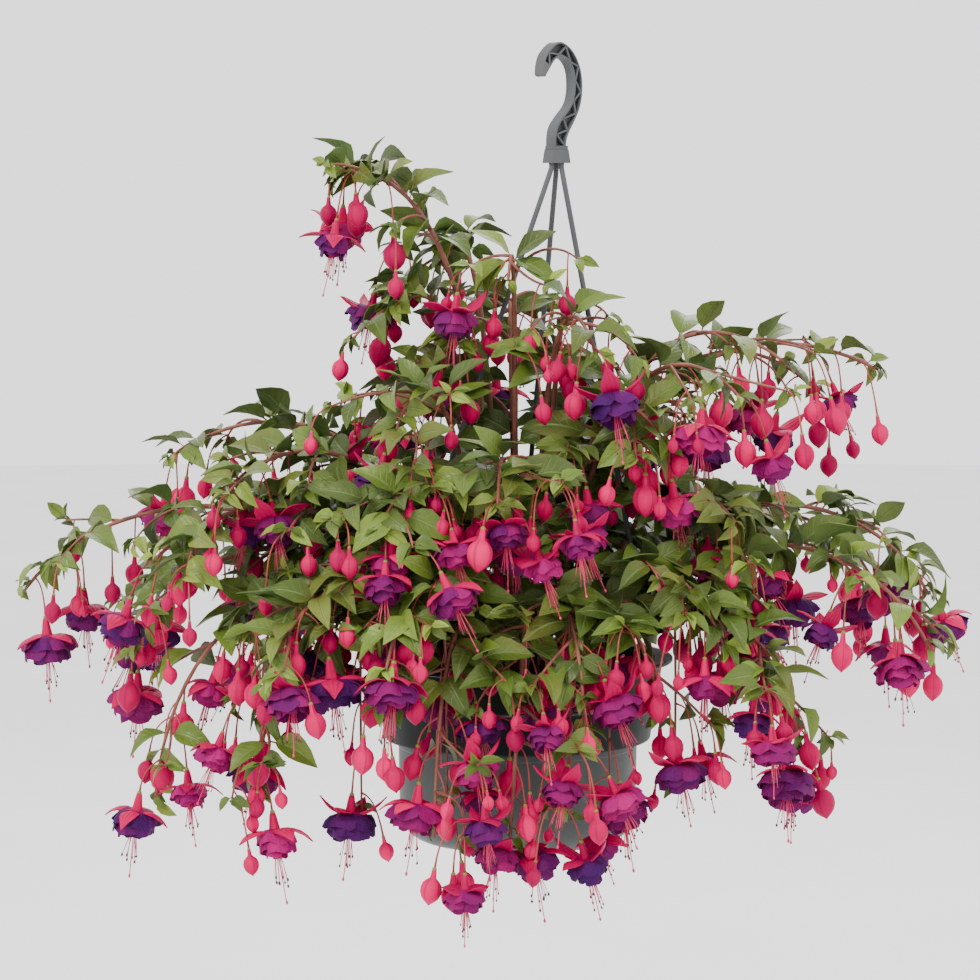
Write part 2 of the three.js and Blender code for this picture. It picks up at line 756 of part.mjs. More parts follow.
function bloomSolid(flower) {
  const shape = flowerShape(flower);
  const { corner, ring, wall, faces } = shape;
  const sepalTop = ring(4.2, -BLOOM.sepalTop);
  const throat = ring(5, -BLOOM.throat);
  const skirt = [0, 1, 2, 3, 4, 5, 6, 7].map((j) => {
    const wave = j % 2 ? 1 : 0.78;
    return corner(BLOOM.skirt * wave, 45 * j, -BLOOM.skirtDepth - (j % 2 ? 0 : 4.5));
  });
  const fold = ring(BLOOM.inner - 1.5, -BLOOM.skirtDepth - 0.5);
  const inner = ring(BLOOM.inner, -BLOOM.innerDepth);
  const mouth = ring(1.4, -BLOOM.innerDepth + 5);
  const sepalTip = -BLOOM.throat + 1 + flower.lift;
  const sepalEdge = -BLOOM.sepalTop * 0.6 + sepalTip * 0.4 - 2.3;
  addPedicel(shape, flower, sepalTop);
  for (let k = 0; k < 4; k += 1) {
    const n = (k + 1) % 4;
    const centre = 90 + 90 * k;
    const left = corner(14.5, centre - 25, sepalEdge);
    const right = corner(14.5, centre + 25, sepalEdge);
    const tip = corner(BLOOM.sepal, centre, sepalTip);
    const [a, b, c, d] = [sepalTop[k], sepalTop[n], throat[k], throat[n]];
    faces.push([a, left, tip], [a, tip, b], [b, tip, right]);
    faces.push([c, d, right], [c, right, left], [left, right, tip], [left, a, c], [b, right, d]);
    const [p, q, r] = [skirt[2 * k + 1], skirt[(2 * k + 2) % 8], skirt[(2 * k + 3) % 8]];
    faces.push([p, q, throat[k]], [q, throat[n], throat[k]], [q, r, throat[n]]);
    faces.push([fold[k], fold[n], q], [fold[k], q, p], [fold[n], r, q]);
  }
  wall(fold, inner);
  wall(inner, mouth);
  shape.point(mouth, corner(0, 0, -BLOOM.pistil));
  return solid(polyhedron(shape.corners, faces));
}

function budSolid(flower) {
  const shape = flowerShape(flower);
  const neck = shape.ring(BUD.neck, -BUD.neckDepth);
  const belly = shape.ring(BUD.belly, -BUD.bellyDepth);
  addPedicel(shape, flower, neck);
  shape.wall(neck, belly);
  shape.point(belly, shape.corner(0, 0, -BUD.length));
  return solid(polyhedron(shape.corners, shape.faces));
}

// ---------- growth: every stem's line first, then blooms, buds and leaves where there is room ----------

function stemRod(stem) {
  const points = [stem.root, ...stem.line];
  const radii = points.map((_, i) => stemRadius(Math.max(0, i - 1) / STEM.segments));
  return { points, radii };
}

function grow(stem, owner, kind, balls, make) {
  for (let attempt = 0; attempt < TRIES; attempt += 1) {
    const growth = make();
    const taken = balls(growth);
    if (isClear(taken, owner, OWN_ROOM[kind])) {
      take(taken, owner);
      stem.growth.push(growth);
      return;
    }
  }
}

function growAll() {
  for (const turn of Object.values(STRANDS)) {
    const path = strandPath(turn);
    take(rodBalls(path, path.map(() => STRAND.r), BALL_STEP), 'hanger');
  }
  stems.forEach((stem, owner) => {
    const { points, radii } = stemRod(stem);
    take(rodBalls(points, radii, BALL_STEP), lineOf(owner));
  });
  const most = {};
  for (const kind of ['blooms', 'buds', 'pairs']) most[kind] = Math.max(...stems.map((stem) => stem[kind]));
  for (let order = 0; order < most.blooms; order += 1) {
    stems.forEach((stem, owner) => {
      if (order >= stem.blooms) return;
      grow(stem, owner, 'bloom', hangingBalls, () => hangingAt(stem, 'bloom', order));
    });
  }
  for (let order = 0; order < most.buds; order += 1) {
    stems.forEach((stem, owner) => {
      if (order >= stem.buds) return;
      grow(stem, owner, 'bud', hangingBalls, () => hangingAt(stem, 'bud', order));
    });
  }
  for (let pair = 0; pair < most.pairs; pair += 1) {
    stems.forEach((stem, owner) => {
      if (pair >= stem.pairs) return;
      for (const side of [1, -1]) {
        grow(stem, owner, 'leaf', leafBalls, () => leafAt(stem, pair, side, stem.pairs));
      }
    });
  }
}

const SOLIDS = { leaf: leafSolid, bud: budSolid, bloom: bloomSolid };

function stemSolid(stem) {
  const { points, radii } = stemRod(stem);
  const shaft = solid(rod(points, radii, STEM.sides, outwardFrom(stem)));
  return fused([shaft, ...stem.growth.map((growth) => SOLIDS[growth.kind](growth))]);
}

// ---------- the whole basket ----------

growAll();

part('pot', pot(), COLOUR.pot, ROUGHNESS.pot);
part('reservoir', reservoir(), COLOUR.reservoir, ROUGHNESS.pot);
part('soil', soil(), COLOUR.soil, ROUGHNESS.soil);
part('hanger_hook', hook(), COLOUR.hook, ROUGHNESS.hanger);
for (const [name, turn] of Object.entries(STRANDS)) {
  part(`hanger_strand_${name}`, strand(turn), COLOUR.strand, ROUGHNESS.hanger);
}
stems.forEach((stem, i) => {
  const name = `fuchsia_stem_${String(i + 1).padStart(2, '0')}`;
  part(name, stemSolid(stem), i % 2 ? COLOUR.leaf : COLOUR.bloom, ROUGHNESS.growth);
});

export default parts;
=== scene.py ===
import math

import bmesh
import bpy
import numpy as np
from mathutils import Matrix, Vector, noise


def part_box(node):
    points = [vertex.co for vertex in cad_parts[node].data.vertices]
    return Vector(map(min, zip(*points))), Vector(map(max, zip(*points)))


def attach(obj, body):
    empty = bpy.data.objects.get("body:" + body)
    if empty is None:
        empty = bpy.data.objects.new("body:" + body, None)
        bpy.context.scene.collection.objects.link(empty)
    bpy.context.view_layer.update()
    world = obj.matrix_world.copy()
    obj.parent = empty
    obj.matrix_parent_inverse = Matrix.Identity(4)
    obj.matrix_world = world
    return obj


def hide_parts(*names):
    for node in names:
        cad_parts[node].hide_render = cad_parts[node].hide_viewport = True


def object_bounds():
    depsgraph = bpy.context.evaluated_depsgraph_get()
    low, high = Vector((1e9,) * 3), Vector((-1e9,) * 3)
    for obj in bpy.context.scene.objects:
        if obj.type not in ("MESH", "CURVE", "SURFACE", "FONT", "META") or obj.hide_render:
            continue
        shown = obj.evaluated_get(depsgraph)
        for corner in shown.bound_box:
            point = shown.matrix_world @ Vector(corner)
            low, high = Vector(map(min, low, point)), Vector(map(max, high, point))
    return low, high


# A double fuchsia in a plastic hanging pot. Sizes are in millimetres, in the frame of the solids, up to
# each finished mesh, which is scaled to metres. The origin is the seat in the top of the hook.

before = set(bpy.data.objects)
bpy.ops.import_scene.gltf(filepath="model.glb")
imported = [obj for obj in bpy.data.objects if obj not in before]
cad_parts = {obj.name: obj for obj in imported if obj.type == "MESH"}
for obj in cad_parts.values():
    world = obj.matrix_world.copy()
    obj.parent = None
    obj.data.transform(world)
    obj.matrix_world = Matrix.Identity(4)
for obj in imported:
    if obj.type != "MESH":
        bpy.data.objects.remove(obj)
cad_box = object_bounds()

MM = 0.001
pot_low, pot_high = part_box("pot")
POT_X = round((pot_low[0] + pot_high[0]) / 2 / MM, 2)
RIM_Z = round(pot_high[2] / MM, 2)

# ---------- sizes shared with the solids ----------

POT = {
    "rim_r": 126, "rim_inner_r": 111.5, "rim_depth": 3.5, "wall_top_r": 117, "ledge_r": 108,
    "line_depth": 33, "line_proud": 1.2, "line_height": 1.4, "ledge_depth": 67,
    "lower_top_r": 93, "lower_foot_r": 88, "foot_r": 70, "chamfer_depth": 124, "depth": 147, "wall": 2.4,
}
RESERVOIR = {"top_r": 97.5, "corner_r": 24, "wall": 2.4, "depth": 150}
SOIL_DEPTH, HOLE_DEPTH, STEM_FREE = 12, 10, 8
STRAND = {
    "r": 2.4, "seat_r": 4.6, "rim_r": 121.6, "straight": 11, "knob_r": 3.9, "knob_length": 5, "below": 2,
}
STRANDS = {"left": 210, "right": 330, "back": 90}
BLOCK = {"top": -71, "bottom": -85, "socket": 8}
GAP = 0.3

# One row per stem: direction round the pot in degrees, reach from the pot's axis, height of the
# crest and of the tip above the rim, blooms, buds, pairs of leaves.
STEMS = [
    (183, 398, 122, 56, 2, 2, 3), (197, 318, 92, 12, 2, 1, 3), (171, 288, 178, 158, 1, 1, 3),
    (207, 262, 165, 140, 2, 1, 2), (203, 312, 128, 88, 1, 2, 3), (204, 312, 60, -98, 2, 1, 1),
    (220, 268, 50, -84, 2, 1, 1), (227, 286, 78, 2, 2, 1, 2), (246, 250, 76, 12, 2, 1, 2),
    (253, 222, 42, -112, 2, 1, 1), (268, 212, 40, -116, 2, 2, 1), (240, 214, 142, 118, 2, 1, 2),
    (265, 192, 164, 138, 2, 1, 2), (284, 208, 60, -32, 2, 1, 1), (303, 204, 56, -28, 1, 2, 1),
    (314, 230, 84, 24, 2, 1, 2), (325, 268, 60, -54, 2, 2, 2), (342, 340, 98, 18, 2, 1, 3),
    (353, 332, 124, 54, 2, 2, 3), (324, 214, 226, 216, 2, 1, 3), (13, 252, 232, 212, 2, 1, 3),
    (337, 196, 132, 96, 2, 1, 2), (313, 168, 196, 180, 1, 1, 2), (351, 216, 246, 240, 0, 3, 3),
    (1, 292, 236, 232, 0, 3, 3), (188, 151, 344, 392, 2, 3, 4), (262, 58, 300, 306, 0, 1, 3),
    (150, 74, 306, 316, 0, 1, 3), (178, 104, 272, 276, 0, 1, 3), (318, 62, 262, 250, 0, 2, 2),
    (232, 156, 208, 190, 1, 1, 2), (296, 138, 262, 250, 1, 1, 3), (21, 330, 112, 30, 1, 1, 2),
    (45, 302, 84, -40, 2, 1, 2), (68, 312, 112, 24, 1, 1, 2), (92, 286, 74, -58, 2, 1, 2),
    (114, 312, 108, 18, 1, 1, 2), (137, 300, 84, -48, 2, 1, 2), (157, 326, 112, 22, 1, 1, 3),
    (60, 190, 204, 180, 1, 1, 2), (122, 196, 206, 182, 1, 1, 2), (92, 116, 268, 256, 1, 1, 2),
]

# The sprays that the stems are dressed in, as ranges of their numbers.
SPRAYS = {
    "left": range(0, 7), "front": range(7, 14), "front_right": range(14, 21),
    "right": range(21, 28), "crown": range(28, 35), "back": range(35, 42),
}

STEM = {"root_r": 3, "tip_r": 1.6, "segments": 5}
LEAF = {"longest": 54, "shortest": 38, "width": 0.42}
THROAT = 18.5

# The growth is tried out as balls along each form. CLEAR is the room that they keep from other stems
# and their growth, OWN_ROOM from the same stem's growth, and HOLDER_ROOM from the pot and the soil.
CLEAR, OWN_ROOM, HOLDER_ROOM = 2, {"bloom": -6, "bud": -1, "leaf": -2}, {"wall": -4, "over": 2, "rim": 1.5}
TRIES, BALL_STEP, SEED = 26, 6, 4021

# ---------- seeded draws and vectors ----------

draws = {"state": SEED}


def draw(low, high):
    draws["state"] = (draws["state"] * 1664525 + 1013904223) % 4294967296
    return low + ((high - low) * draws["state"]) / 4294967296


def rad(degrees):
    return (degrees * math.pi) / 180


def add(a, b, k=1):
    return (a[0] + b[0] * k, a[1] + b[1] * k, a[2] + b[2] * k)


def dot(a, b):
    return a[0] * b[0] + a[1] * b[1] + a[2] * b[2]


def cross(a, b):
    return (a[1] * b[2] - a[2] * b[1], a[2] * b[0] - a[0] * b[2], a[0] * b[1] - a[1] * b[0])


def scaled(a, k):
    return (a[0] * k, a[1] * k, a[2] * k)


def unit(a):
    return scaled(a, 1 / math.sqrt(dot(a, a)))


def mix(a, b, t):
    return add(scaled(a, 1 - t), b, t)


def polar(degrees, radius, height):
    """A point round the pot's axis, with its height measured from the rim."""
    turn = rad(degrees)
    return (POT_X + radius * math.cos(turn), radius * math.sin(turn), RIM_Z + height)


def outward_from(stem):
    return (math.cos(rad(stem["turn"])), math.sin(rad(stem["turn"])), 0)


UP = (0, 0, 1)

# ---------- the growth rule, the same as the solids follow ----------


def bezier(handles, t):
    a, b, c, d = handles
    k = 1 - t
    return tuple(
        k * k * k * a[i] + 3 * k * k * t * b[i] + 3 * k * t * t * c[i] + t * t * t * d[i] for i in range(3)
    )


def points_on(handles, count):
    return [bezier(handles, k / count) for k in range(count + 1)]


def stem_from(number, row):
    turn, reach, crest, tip, blooms, buds, pairs = row
    root_r = min(90, max(8, 97 - 0.26 * crest))
    height = -SOIL_DEPTH + STEM_FREE
    bend = (8 * crest - height - tip) / 6
    sway = (crest * 7 + reach * 3) % 17 - 8
    trailing = min(1, max(0, (crest - tip) / 140))
    span = reach - root_r
    handles = [
        polar(turn, root_r, height),
        polar(turn + sway, root_r + 0.16 * span, bend),
        polar(turn + sway * 0.5, root_r + (0.66 + 0.28 * trailing) * span, bend),
        polar(turn, reach, tip),
    ]
    return {
        "number": number, "turn": turn, "handles": handles, "line": points_on(handles, STEM["segments"]),
        "root": polar(turn, root_r, -SOIL_DEPTH - HOLE_DEPTH), "blooms": blooms, "buds": buds, "pairs": pairs,
        "growth": [], "shoots": [], "pendants": [],
    }


def along(stem, share):
    """The point and the direction at a share of the way along a stem's chords."""
    place = min(share, 0.9999) * STEM["segments"]
    i = math.floor(place)
    start, end = stem["line"][i], stem["line"][i + 1]
    return mix(start, end, place - i), unit(add(end, start, -1))


# What is taken: balls of (x, y, z, radius), the cell of space that each is in, and its owner, which is
# a stem's number for its growth, LINES more for the stem itself, and HANGER for the strands.
CELL, MOST = 28, 60000
HANGER, LINES = -1, 1000
taken = {
    "balls": np.empty((MOST, 4)), "cells": np.empty((MOST, 3), int),
    "owners": np.empty(MOST, int), "count": 0,
}


def take(balls, owner):
    first = taken["count"]
    last = first + len(balls)
    taken["balls"][first:last] = balls
    taken["cells"][first:last] = np.floor(np.array(balls)[:, :3] / CELL)
    taken["owners"][first:last] = owner
    taken["count"] = last


def in_holder(ball):
    """Whether a ball comes too near to the pot, its rim or the soil in it."""
    x, y, z, r = ball
    out = math.hypot(x - POT_X, y)
    height = z - RIM_Z
    over = r + HOLDER_ROOM["over"]
    if out < POT["wall_top_r"] + HOLDER_ROOM["wall"]:
        return -RESERVOIR["depth"] - r < height < over - SOIL_DEPTH
    return out < POT["rim_r"] + r + HOLDER_ROOM["rim"] and -RESERVOIR["depth"] - r < height < over


def is_clear(balls, owner, own_room, room):
    """Whether the balls keep their room from all that is taken and stay out of the pot and soil."""
    if any(in_holder(ball) for ball in balls):
        return False
    count = taken["count"]
    spots = np.array(balls)
    others, owners = taken["balls"][:count], taken["owners"][:count]
    cells = np.floor(spots[:, :3] / CELL)
    for spot, cell in zip(spots, cells):
        near = np.flatnonzero((np.abs(taken["cells"][:count] - cell) <= 1).all(1) & (owners != LINES + owner))
        if not len(near):
            continue
        apart = ((others[near, :3] - spot[:3]) ** 2).sum(1)
        reach = spot[3] + others[near, 3] + np.where(owners[near] == owner, own_room, room)
        if (apart < reach * reach).any():
            return False
    return True


def rod_balls(points, radii, step):
    balls = []
    for i in range(len(points) - 1):
        length = math.dist(points[i], points[i + 1])
        count = math.ceil(length / step)
        for k in range(count):
            share = k / count
            radius = radii[i] + (radii[i + 1] - radii[i]) * share
            balls.append((*mix(points[i], points[i + 1], share), radius))
    balls.append((*points[-1], radii[-1]))
    return balls


def facing(lengthwise, face):
    out = unit(add(face, lengthwise, -dot(face, lengthwise)))
    return {"lengthwise": lengthwise, "out": out, "across": cross(out, lengthwise)}


def placed(at, axes, place):
    s, w, h = place
    return add(add(add(at, axes["lengthwise"], s), axes["across"], w), axes["out"], h)


def arch(s):
    return 0.3 * s * (1 - s) - 0.17 * s * s


def sideways_from(stem, run):
    """Level and square to a run of the stem, or round the pot where the run is near plumb."""
    level = cross(run, UP)
    return unit(level) if math.sqrt(dot(level, level)) > 0.35 else unit(cross(UP, outward_from(stem)))


def leaf_axes(stem, run, side, upright):
    sideways = sideways_from(stem, run)
    rise = cross(sideways, run)
    roll = rad((48 if upright else 8) + draw(-24, 30))
    spread = draw(0.3, 0.75)
    aim = add(scaled(run, spread), sideways, side * math.cos(roll))
    lengthwise = unit(add(aim, rise, math.sin(roll)))
    face = add(UP, outward_from(stem), draw(0.1, 0.7))
    face = add(face, sideways, draw(-0.3, 0.3))
    return facing(lengthwise, face)


def leaf_at(stem, pair, side):
    share = 0.3 + (0.66 * (pair + 0.5)) / stem["pairs"] + draw(-0.05, 0.05)
    at, run = along(stem, share)
    axes = leaf_axes(stem, run, side, pair % 2)
    size = (LEAF["longest"] - (LEAF["longest"] - LEAF["shortest"]) * share * share) * draw(0.86, 1.08)
    return {"kind": "leaf", "share": share, "at": at, "axes": axes, "size": size}


LEAF_SPOTS = [
    (0.22, 0, 3), (0.4, 0, 4.5), (0.6, 0, 4.5), (0.8, 0, 3.5), (0.97, 0, 2),
    (0.32, 0.34, 3.5), (0.32, -0.34, 3.5), (0.6, 0.28, 3.5), (0.6, -0.28, 3.5),
]


def leaf_balls(leaf):
    at, axes, size = leaf["at"], leaf["axes"], leaf["size"]
    width = size * LEAF["width"]
    return [(*placed(at, axes, (s * size, w * width, arch(s) * size)), r) for s, w, r in LEAF_SPOTS]


def hanging_axes(axis, spin):
    up = scaled(axis, -1)
    first = unit(cross(up, (math.cos(rad(spin)), math.sin(rad(spin)), 0.01)))
    return {"lengthwise": first, "across": cross(up, first), "out": up}


def hanging_at(stem, kind, order):
    bloom = kind == "bloom"
    furthest = (0.965 if bloom else 0.945) - 0.04 * order
    share = min(furthest, 1 - (0.1 if bloom else 0.07) * order + draw(-0.17, 0.02))
    at, _ = along(stem, share)
    swing = rad(stem["turn"] + draw(-130, 130))
    aside = (math.cos(swing), math.sin(swing), 0)
    out = draw(7, 20)
    drop = draw(16, 34) if bloom else draw(12, 40)
    lean = draw(0, 0.5 if bloom else 0.25)
    axis = unit((aside[0] * lean, aside[1] * lean, -1))
    knee = add(add(at, aside, out), UP, -draw(2, 8))
    top = add(knee, axis, drop)
    size = draw(0.86, 1.06) if bloom else draw(0.7, 1.08)
    axes = hanging_axes(axis, draw(0, 90))
    return {
        "kind": kind, "share": share, "at": at, "knee": knee, "top": top, "axes": axes, "size": size,
        "lift": draw(-8, 9),
    }


def hanging_balls(flower):
    top, axes, size = flower["top"], flower["axes"], flower["size"]
    stalk = rod_balls([flower["at"], flower["knee"], top], [1.2, 1.2, 1.2], 7)[1:]

    def ball(s, w, h, r):
        return (*placed(top, axes, (s * size, w * size, h * size)), r * size)

    if flower["kind"] == "bud":
        return stalk + [ball(0, 0, -6, 4), ball(0, 0, -16, 8.6), ball(0, 0, -25, 4)]
    body = [ball(0, 0, -8, 4), ball(0, 0, -28, 20), ball(0, 0, -41, 12)]
    body += [ball(0, 0, -depth, 2.5) for depth in (50, 56, 62, 68)]
    for k in range(4):
        turn = rad(90 * k)
        for reach, rise, r in ((15, 0.25, 6), (23, 0.7, 5), (29, 1, 3)):
            z = -THROAT + 1 + flower["lift"] * rise
            body.append(ball(reach * math.cos(turn), reach * math.sin(turn), z, r))
    return stalk + body


def balls_of(growth):
    return leaf_balls(growth) if growth["kind"] == "leaf" else hanging_balls(growth)


def strand_path(turn):
    x, y = (STRAND["seat_r"] * math.cos(rad(turn)), STRAND["seat_r"] * math.sin(rad(turn)))
    foot = polar(turn, STRAND["rim_r"], 0)
    top = (x, y, BLOCK["bottom"] - 4)
    bend = (foot[0], foot[1], RIM_Z + STRAND["straight"])
    return [
        (x, y, BLOCK["bottom"] + BLOCK["socket"] - GAP), top, mix(top, bend, 0.25), mix(top, bend, 0.6),
        bend, (foot[0], foot[1], RIM_Z - POT["rim_depth"] - STRAND["below"]),
    ]


def grow(stem, make, room=CLEAR, own_room=None, tries=TRIES):
    """Tries places for one leaf, bud or bloom, and keeps the first that is clear."""
    for _ in range(tries):
        growth = make()
        balls = balls_of(growth)
        own = OWN_ROOM[growth["kind"]] if own_room is None else own_room
        if is_clear(balls, stem["number"], own, room):
            take(balls, stem["number"])
            stem["growth"].append(growth)
            return True
    return False


def grow_main():
    """The blooms, buds and leaves that the solids have."""
    for turn in STRANDS.values():
        path = strand_path(turn)
        take(rod_balls(path, [STRAND["r"]] * len(path), BALL_STEP), HANGER)
    for stem in stems:
        points = [stem["root"], *stem["line"]]
        shares = [max(0, i - 1) / STEM["segments"] for i in range(len(points))]
        radii = [STEM["root_r"] + (STEM["tip_r"] - STEM["root_r"]) * share for share in shares]
        take(rod_balls(points, radii, BALL_STEP), LINES + stem["number"])
    for kind, plural in (("bloom", "blooms"), ("bud", "buds")):
        for order in range(max(stem[plural] for stem in stems)):
            for stem in stems:
                if order < stem[plural]:
                    grow(stem, lambda: hanging_at(stem, kind, order))
    for pair in range(max(stem["pairs"] for stem in stems)):
        for stem in stems:
            if pair < stem["pairs"]:
                for side in (1, -1):
                    grow(stem, lambda: leaf_at(stem, pair, side))


stems = [stem_from(number, row) for number, row in enumerate(STEMS)]
grow_main()


# ---------- fuller growth between the main leaves, at the nodes of the stems and on side shoots ----------

# Pairs of leaves along the stems, and on the side shoots.
FILL = {"spacing": 18, "first": 0.08, "largest": 58}
SHOOTS = {
    "per_stem": 5, "tries": 6, "shortest": 45, "longest": 92, "first": 0.12, "spacing": 15, "largest": 50,
    "r": 1.5, "off_pot": 12, "leafy_r": 30, "room": -2, "own_room": -4,
}

TUFT = {"leaves": 4, "from": 0.97, "shortest": 12, "longest": 23, "young": 0.7}

# How close the added growth may stand: the room that it keeps from other stems' growth and from its own
# stem's, and how many places are tried. Each try is made anew, up to REDRAWS times, until it is in the box.
LIMITS = {"third_bud": (0.5, -2, 10), "low": (-1.5, -6, 14), "twig": (-1.5, -5, 14), "leaf": (-6, -6.6, 6)}
REDRAWS = 4

# Flowers are (kind, order from the tip). On side shoots, the share of the shoots that have the flower
# comes between them, with what is added to it at the front of the plant.
SHOOT_FLOWERS = [("bloom", 0.14, 0.22, 0), ("bud", 0.45, 0.4, 0), ("bud", 0.4, 0.4, 1), ("bud", 0, 0.5, 2)]
LOW_TIP, LOW_FLOWERS = 10, [("bloom", 2), ("bud", 3), ("bloom", 4), ("bud", 1)]
PENDANTS = {"tries": 12, "room": -3, "from": 218, "to": 318, "highest_tip": 30}
PENDANT_FLOWERS = [("bud", 0), ("bloom", 1), ("bud", 2)]

# The added growth stays within the box of the solids, let out by PROUD, and above the skirt: a cone
# that rises outwards from its edge.
PROUD = 6
SKIRT = {"out": 290, "height": -122, "slope": 0.9}
box_low = [value / MM - PROUD for value in cad_box[0]]
box_high = [value / MM + PROUD for value in cad_box[1]]


def in_box(balls):
    """Inside the box of the main growth, and above the line along which its far ends rise."""
    for *spot, r in balls:
        if any(spot[i] - 0.5 * r < box_low[i] or box_high[i] < spot[i] + 0.5 * r for i in range(3)):
            return False
        out = math.hypot(spot[0] - POT_X, spot[1]) - SKIRT["out"]
        if out > 0 and spot[2] - RIM_Z < SKIRT["height"] + SKIRT["slope"] * out:
            return False
    return True


def grow_in_box(stem, limits, make):
    """Grows one leaf, bud or bloom that stays within the reach of the main growth."""

    def within():
        growth = make()
        for _ in range(REDRAWS):
            if in_box(balls_of(growth)):
                return growth
            growth = make()
        return growth

    room, own_room, tries = LIMITS[limits]
    if grow(stem, within, room, own_room, tries) and not in_box(balls_of(stem["growth"][-1])):
        stem["growth"].pop()


def run_at(handles, share):
    low, high = max(0, share - 0.01), min(1, share + 0.01)
    return unit(add(bezier(handles, high), bezier(handles, low), -1))


def filling_leaf(stem, handles, share, side, upright, size):
    """A leaf that leans out from the plant, with its tip towards the ground."""
    at, run, out = bezier(handles, share), run_at(handles, share), outward_from(stem)
    sideways = sideways_from(stem, run)
    roll = rad((40 if upright else 0) + draw(-24, 30))
    aim = add(scaled(run, draw(0.25, 0.8)), sideways, side * math.cos(roll))
    aim = add(aim, cross(sideways, run), math.sin(roll))
    lengthwise = unit(add(aim, UP, draw(-0.75, 0.15)))
    face = add(add(scaled(UP, draw(0.35, 1)), out, draw(0.2, 1.3)), sideways, draw(-0.4, 0.4))
    axes, size = facing(lengthwise, face), size * draw(0.84, 1.1)
    return {"kind": "leaf", "at": at, "axes": axes, "size": size, "young": max(0, share - 0.82) / 0.18}


def length_of(handles):
    points = points_on(handles, 8)
    return sum(math.dist(start, end) for start, end in zip(points, points[1:]))


def ease(value, low, high):
    t = min(1, max(0, (value - low) / (high - low)))
    return t * t * (3 - 2 * t)


def thin_at(spot):
    """The share of leaf pairs left out: the plant is open at its far ends, its top and before the pot."""
    aside, over = spot[0] - POT_X, spot[2] - RIM_Z
    ends = min(0.68, 0.5 * ease(math.hypot(aside, spot[1]), 150, 270) + 0.6 * ease(over, 120, 220))
    crown = 0.95 * ease(over, 165, 225) * ease(aside, -45, 5)
    before_pot = ease(-spot[1], 40, 90) * ease(aside, -80, -35) * ease(-aside, -140, -110)
    front = (0.5 * ease(-over, -150, -70) + 0.42 * ease(-over, -25, 10)) * before_pot
    return max(ends, crown, front)


def fill_line(stem, handles, first, spacing, largest):
    """Opposite pairs of leaves along a line, each pair turned from the last."""
    count = max(2, round(length_of(handles) * (1 - first) / spacing))
    for k in range(count):
        share = first + (1 - first) * (k + 0.6) / count
        if draw(0, 1) < thin_at(bezier(handles, share)):
            continue
        size = largest * (1 - 0.5 * share ** 3) * draw(0.74, 1)
        for side in (1, -1):
            grow_in_box(stem, "leaf", lambda: filling_leaf(
                stem, handles, min(1, share + draw(-0.02, 0.02)), side, k % 2, size))


def tuft(stem, handles):
    """The small young leaves at the end of a stem or shoot."""
    for k in range(TUFT["leaves"]):
        share = TUFT["from"] + (1 - TUFT["from"]) * k / TUFT["leaves"]
        size = draw(TUFT["shortest"], TUFT["longest"])
        leaf = filling_leaf(stem, handles, share, 1 if k % 2 else -1, k % 3, size)
        leaf["young"] = TUFT["young"]
        stem["growth"].append(leaf)


def shoot_from(stem, number):
    share = 0.2 + 0.7 * (number + draw(0, 1)) / SHOOTS["per_stem"]
    at, run = bezier(stem["handles"], share), run_at(stem["handles"], share)
    out = outward_from(stem)
    level = unit(cross(out, UP))
    side = 1 if number % 2 else -1
    length = draw(SHOOTS["shortest"], SHOOTS["longest"]) * (1 - 0.25 * share)
    start = unit(add(add(scaled(run, 0.7), level, side * draw(0.4, 1)), UP, draw(-0.15, 0.4)))
    ahead = unit(add(add(scaled(out, draw(0.2, 0.9)), level, side * draw(0.2, 0.8)), UP, draw(-1.2, 0)))
    knee = add(at, start, 0.4 * length)
    bend = add(knee, unit(add(start, ahead)), 0.35 * length)
    return [at, knee, bend, add(bend, ahead, 0.35 * length)]


def pendant_from(stem):
    """A thin shoot that hangs down before the pot."""
    at, out = bezier(stem["handles"], draw(0.5, 0.95)), outward_from(stem)
    knee = add(add(add(at, out, draw(6, 26)), cross(out, UP), draw(-30, 30)), UP, draw(-12, 4))
    foot = add(knee, out, draw(-14, 8))
    end = (foot[0], foot[1], min(RIM_Z + draw(-114, -78), knee[2] - 20))
    return [at, knee, mix(knee, end, 0.4), end]


def take_first_clear(stem, make, room, tries):
    """The handles of the first shoot tried that has room for itself and for the leaves it will have."""
    for _ in range(tries):
        handles = make()
        balls = rod_balls(points_on(handles, 5)[1:], [SHOOTS["r"]] * 5, BALL_STEP)
        by_pot = any(in_holder((*ball[:3], SHOOTS["off_pot"])) for ball in balls)
        inside = not by_pot and in_box([(*ball[:3], SHOOTS["leafy_r"]) for ball in balls])
        if inside and is_clear(balls, stem["number"], SHOOTS["own_room"], room):
            take(balls, stem["number"])
            return [handles]
    return []


def flower_on(stem, handles, kind, order):
    twig = {**stem, "line": points_on(handles, STEM["segments"])}

    def flower():
        made = {**hanging_at(twig, kind, order), "twig": handles}
        made["size"] *= draw(0.6, 1) if kind == "bud" else draw(0.86, 1)
        return made

    grow_in_box(stem, "twig", flower)


def grow_shoots():
    """First the pendants with their flowers, then the side shoots."""
    for stem in stems:
        low = stem["line"][-1][2] < RIM_Z + PENDANTS["highest_tip"]
        if low and PENDANTS["from"] < stem["turn"] < PENDANTS["to"]:
            stem["pendants"] = take_first_clear(
                stem, lambda: pendant_from(stem), PENDANTS["room"], PENDANTS["tries"])
    for kind, order in PENDANT_FLOWERS:
        for stem in stems:
            for handles in stem["pendants"]:
                flower_on(stem, handles, kind, order)
    for stem in stems:
        for number in range(SHOOTS["per_stem"]):
            stem["shoots"] += take_first_clear(
                stem, lambda: shoot_from(stem, number), SHOOTS["room"], SHOOTS["tries"])


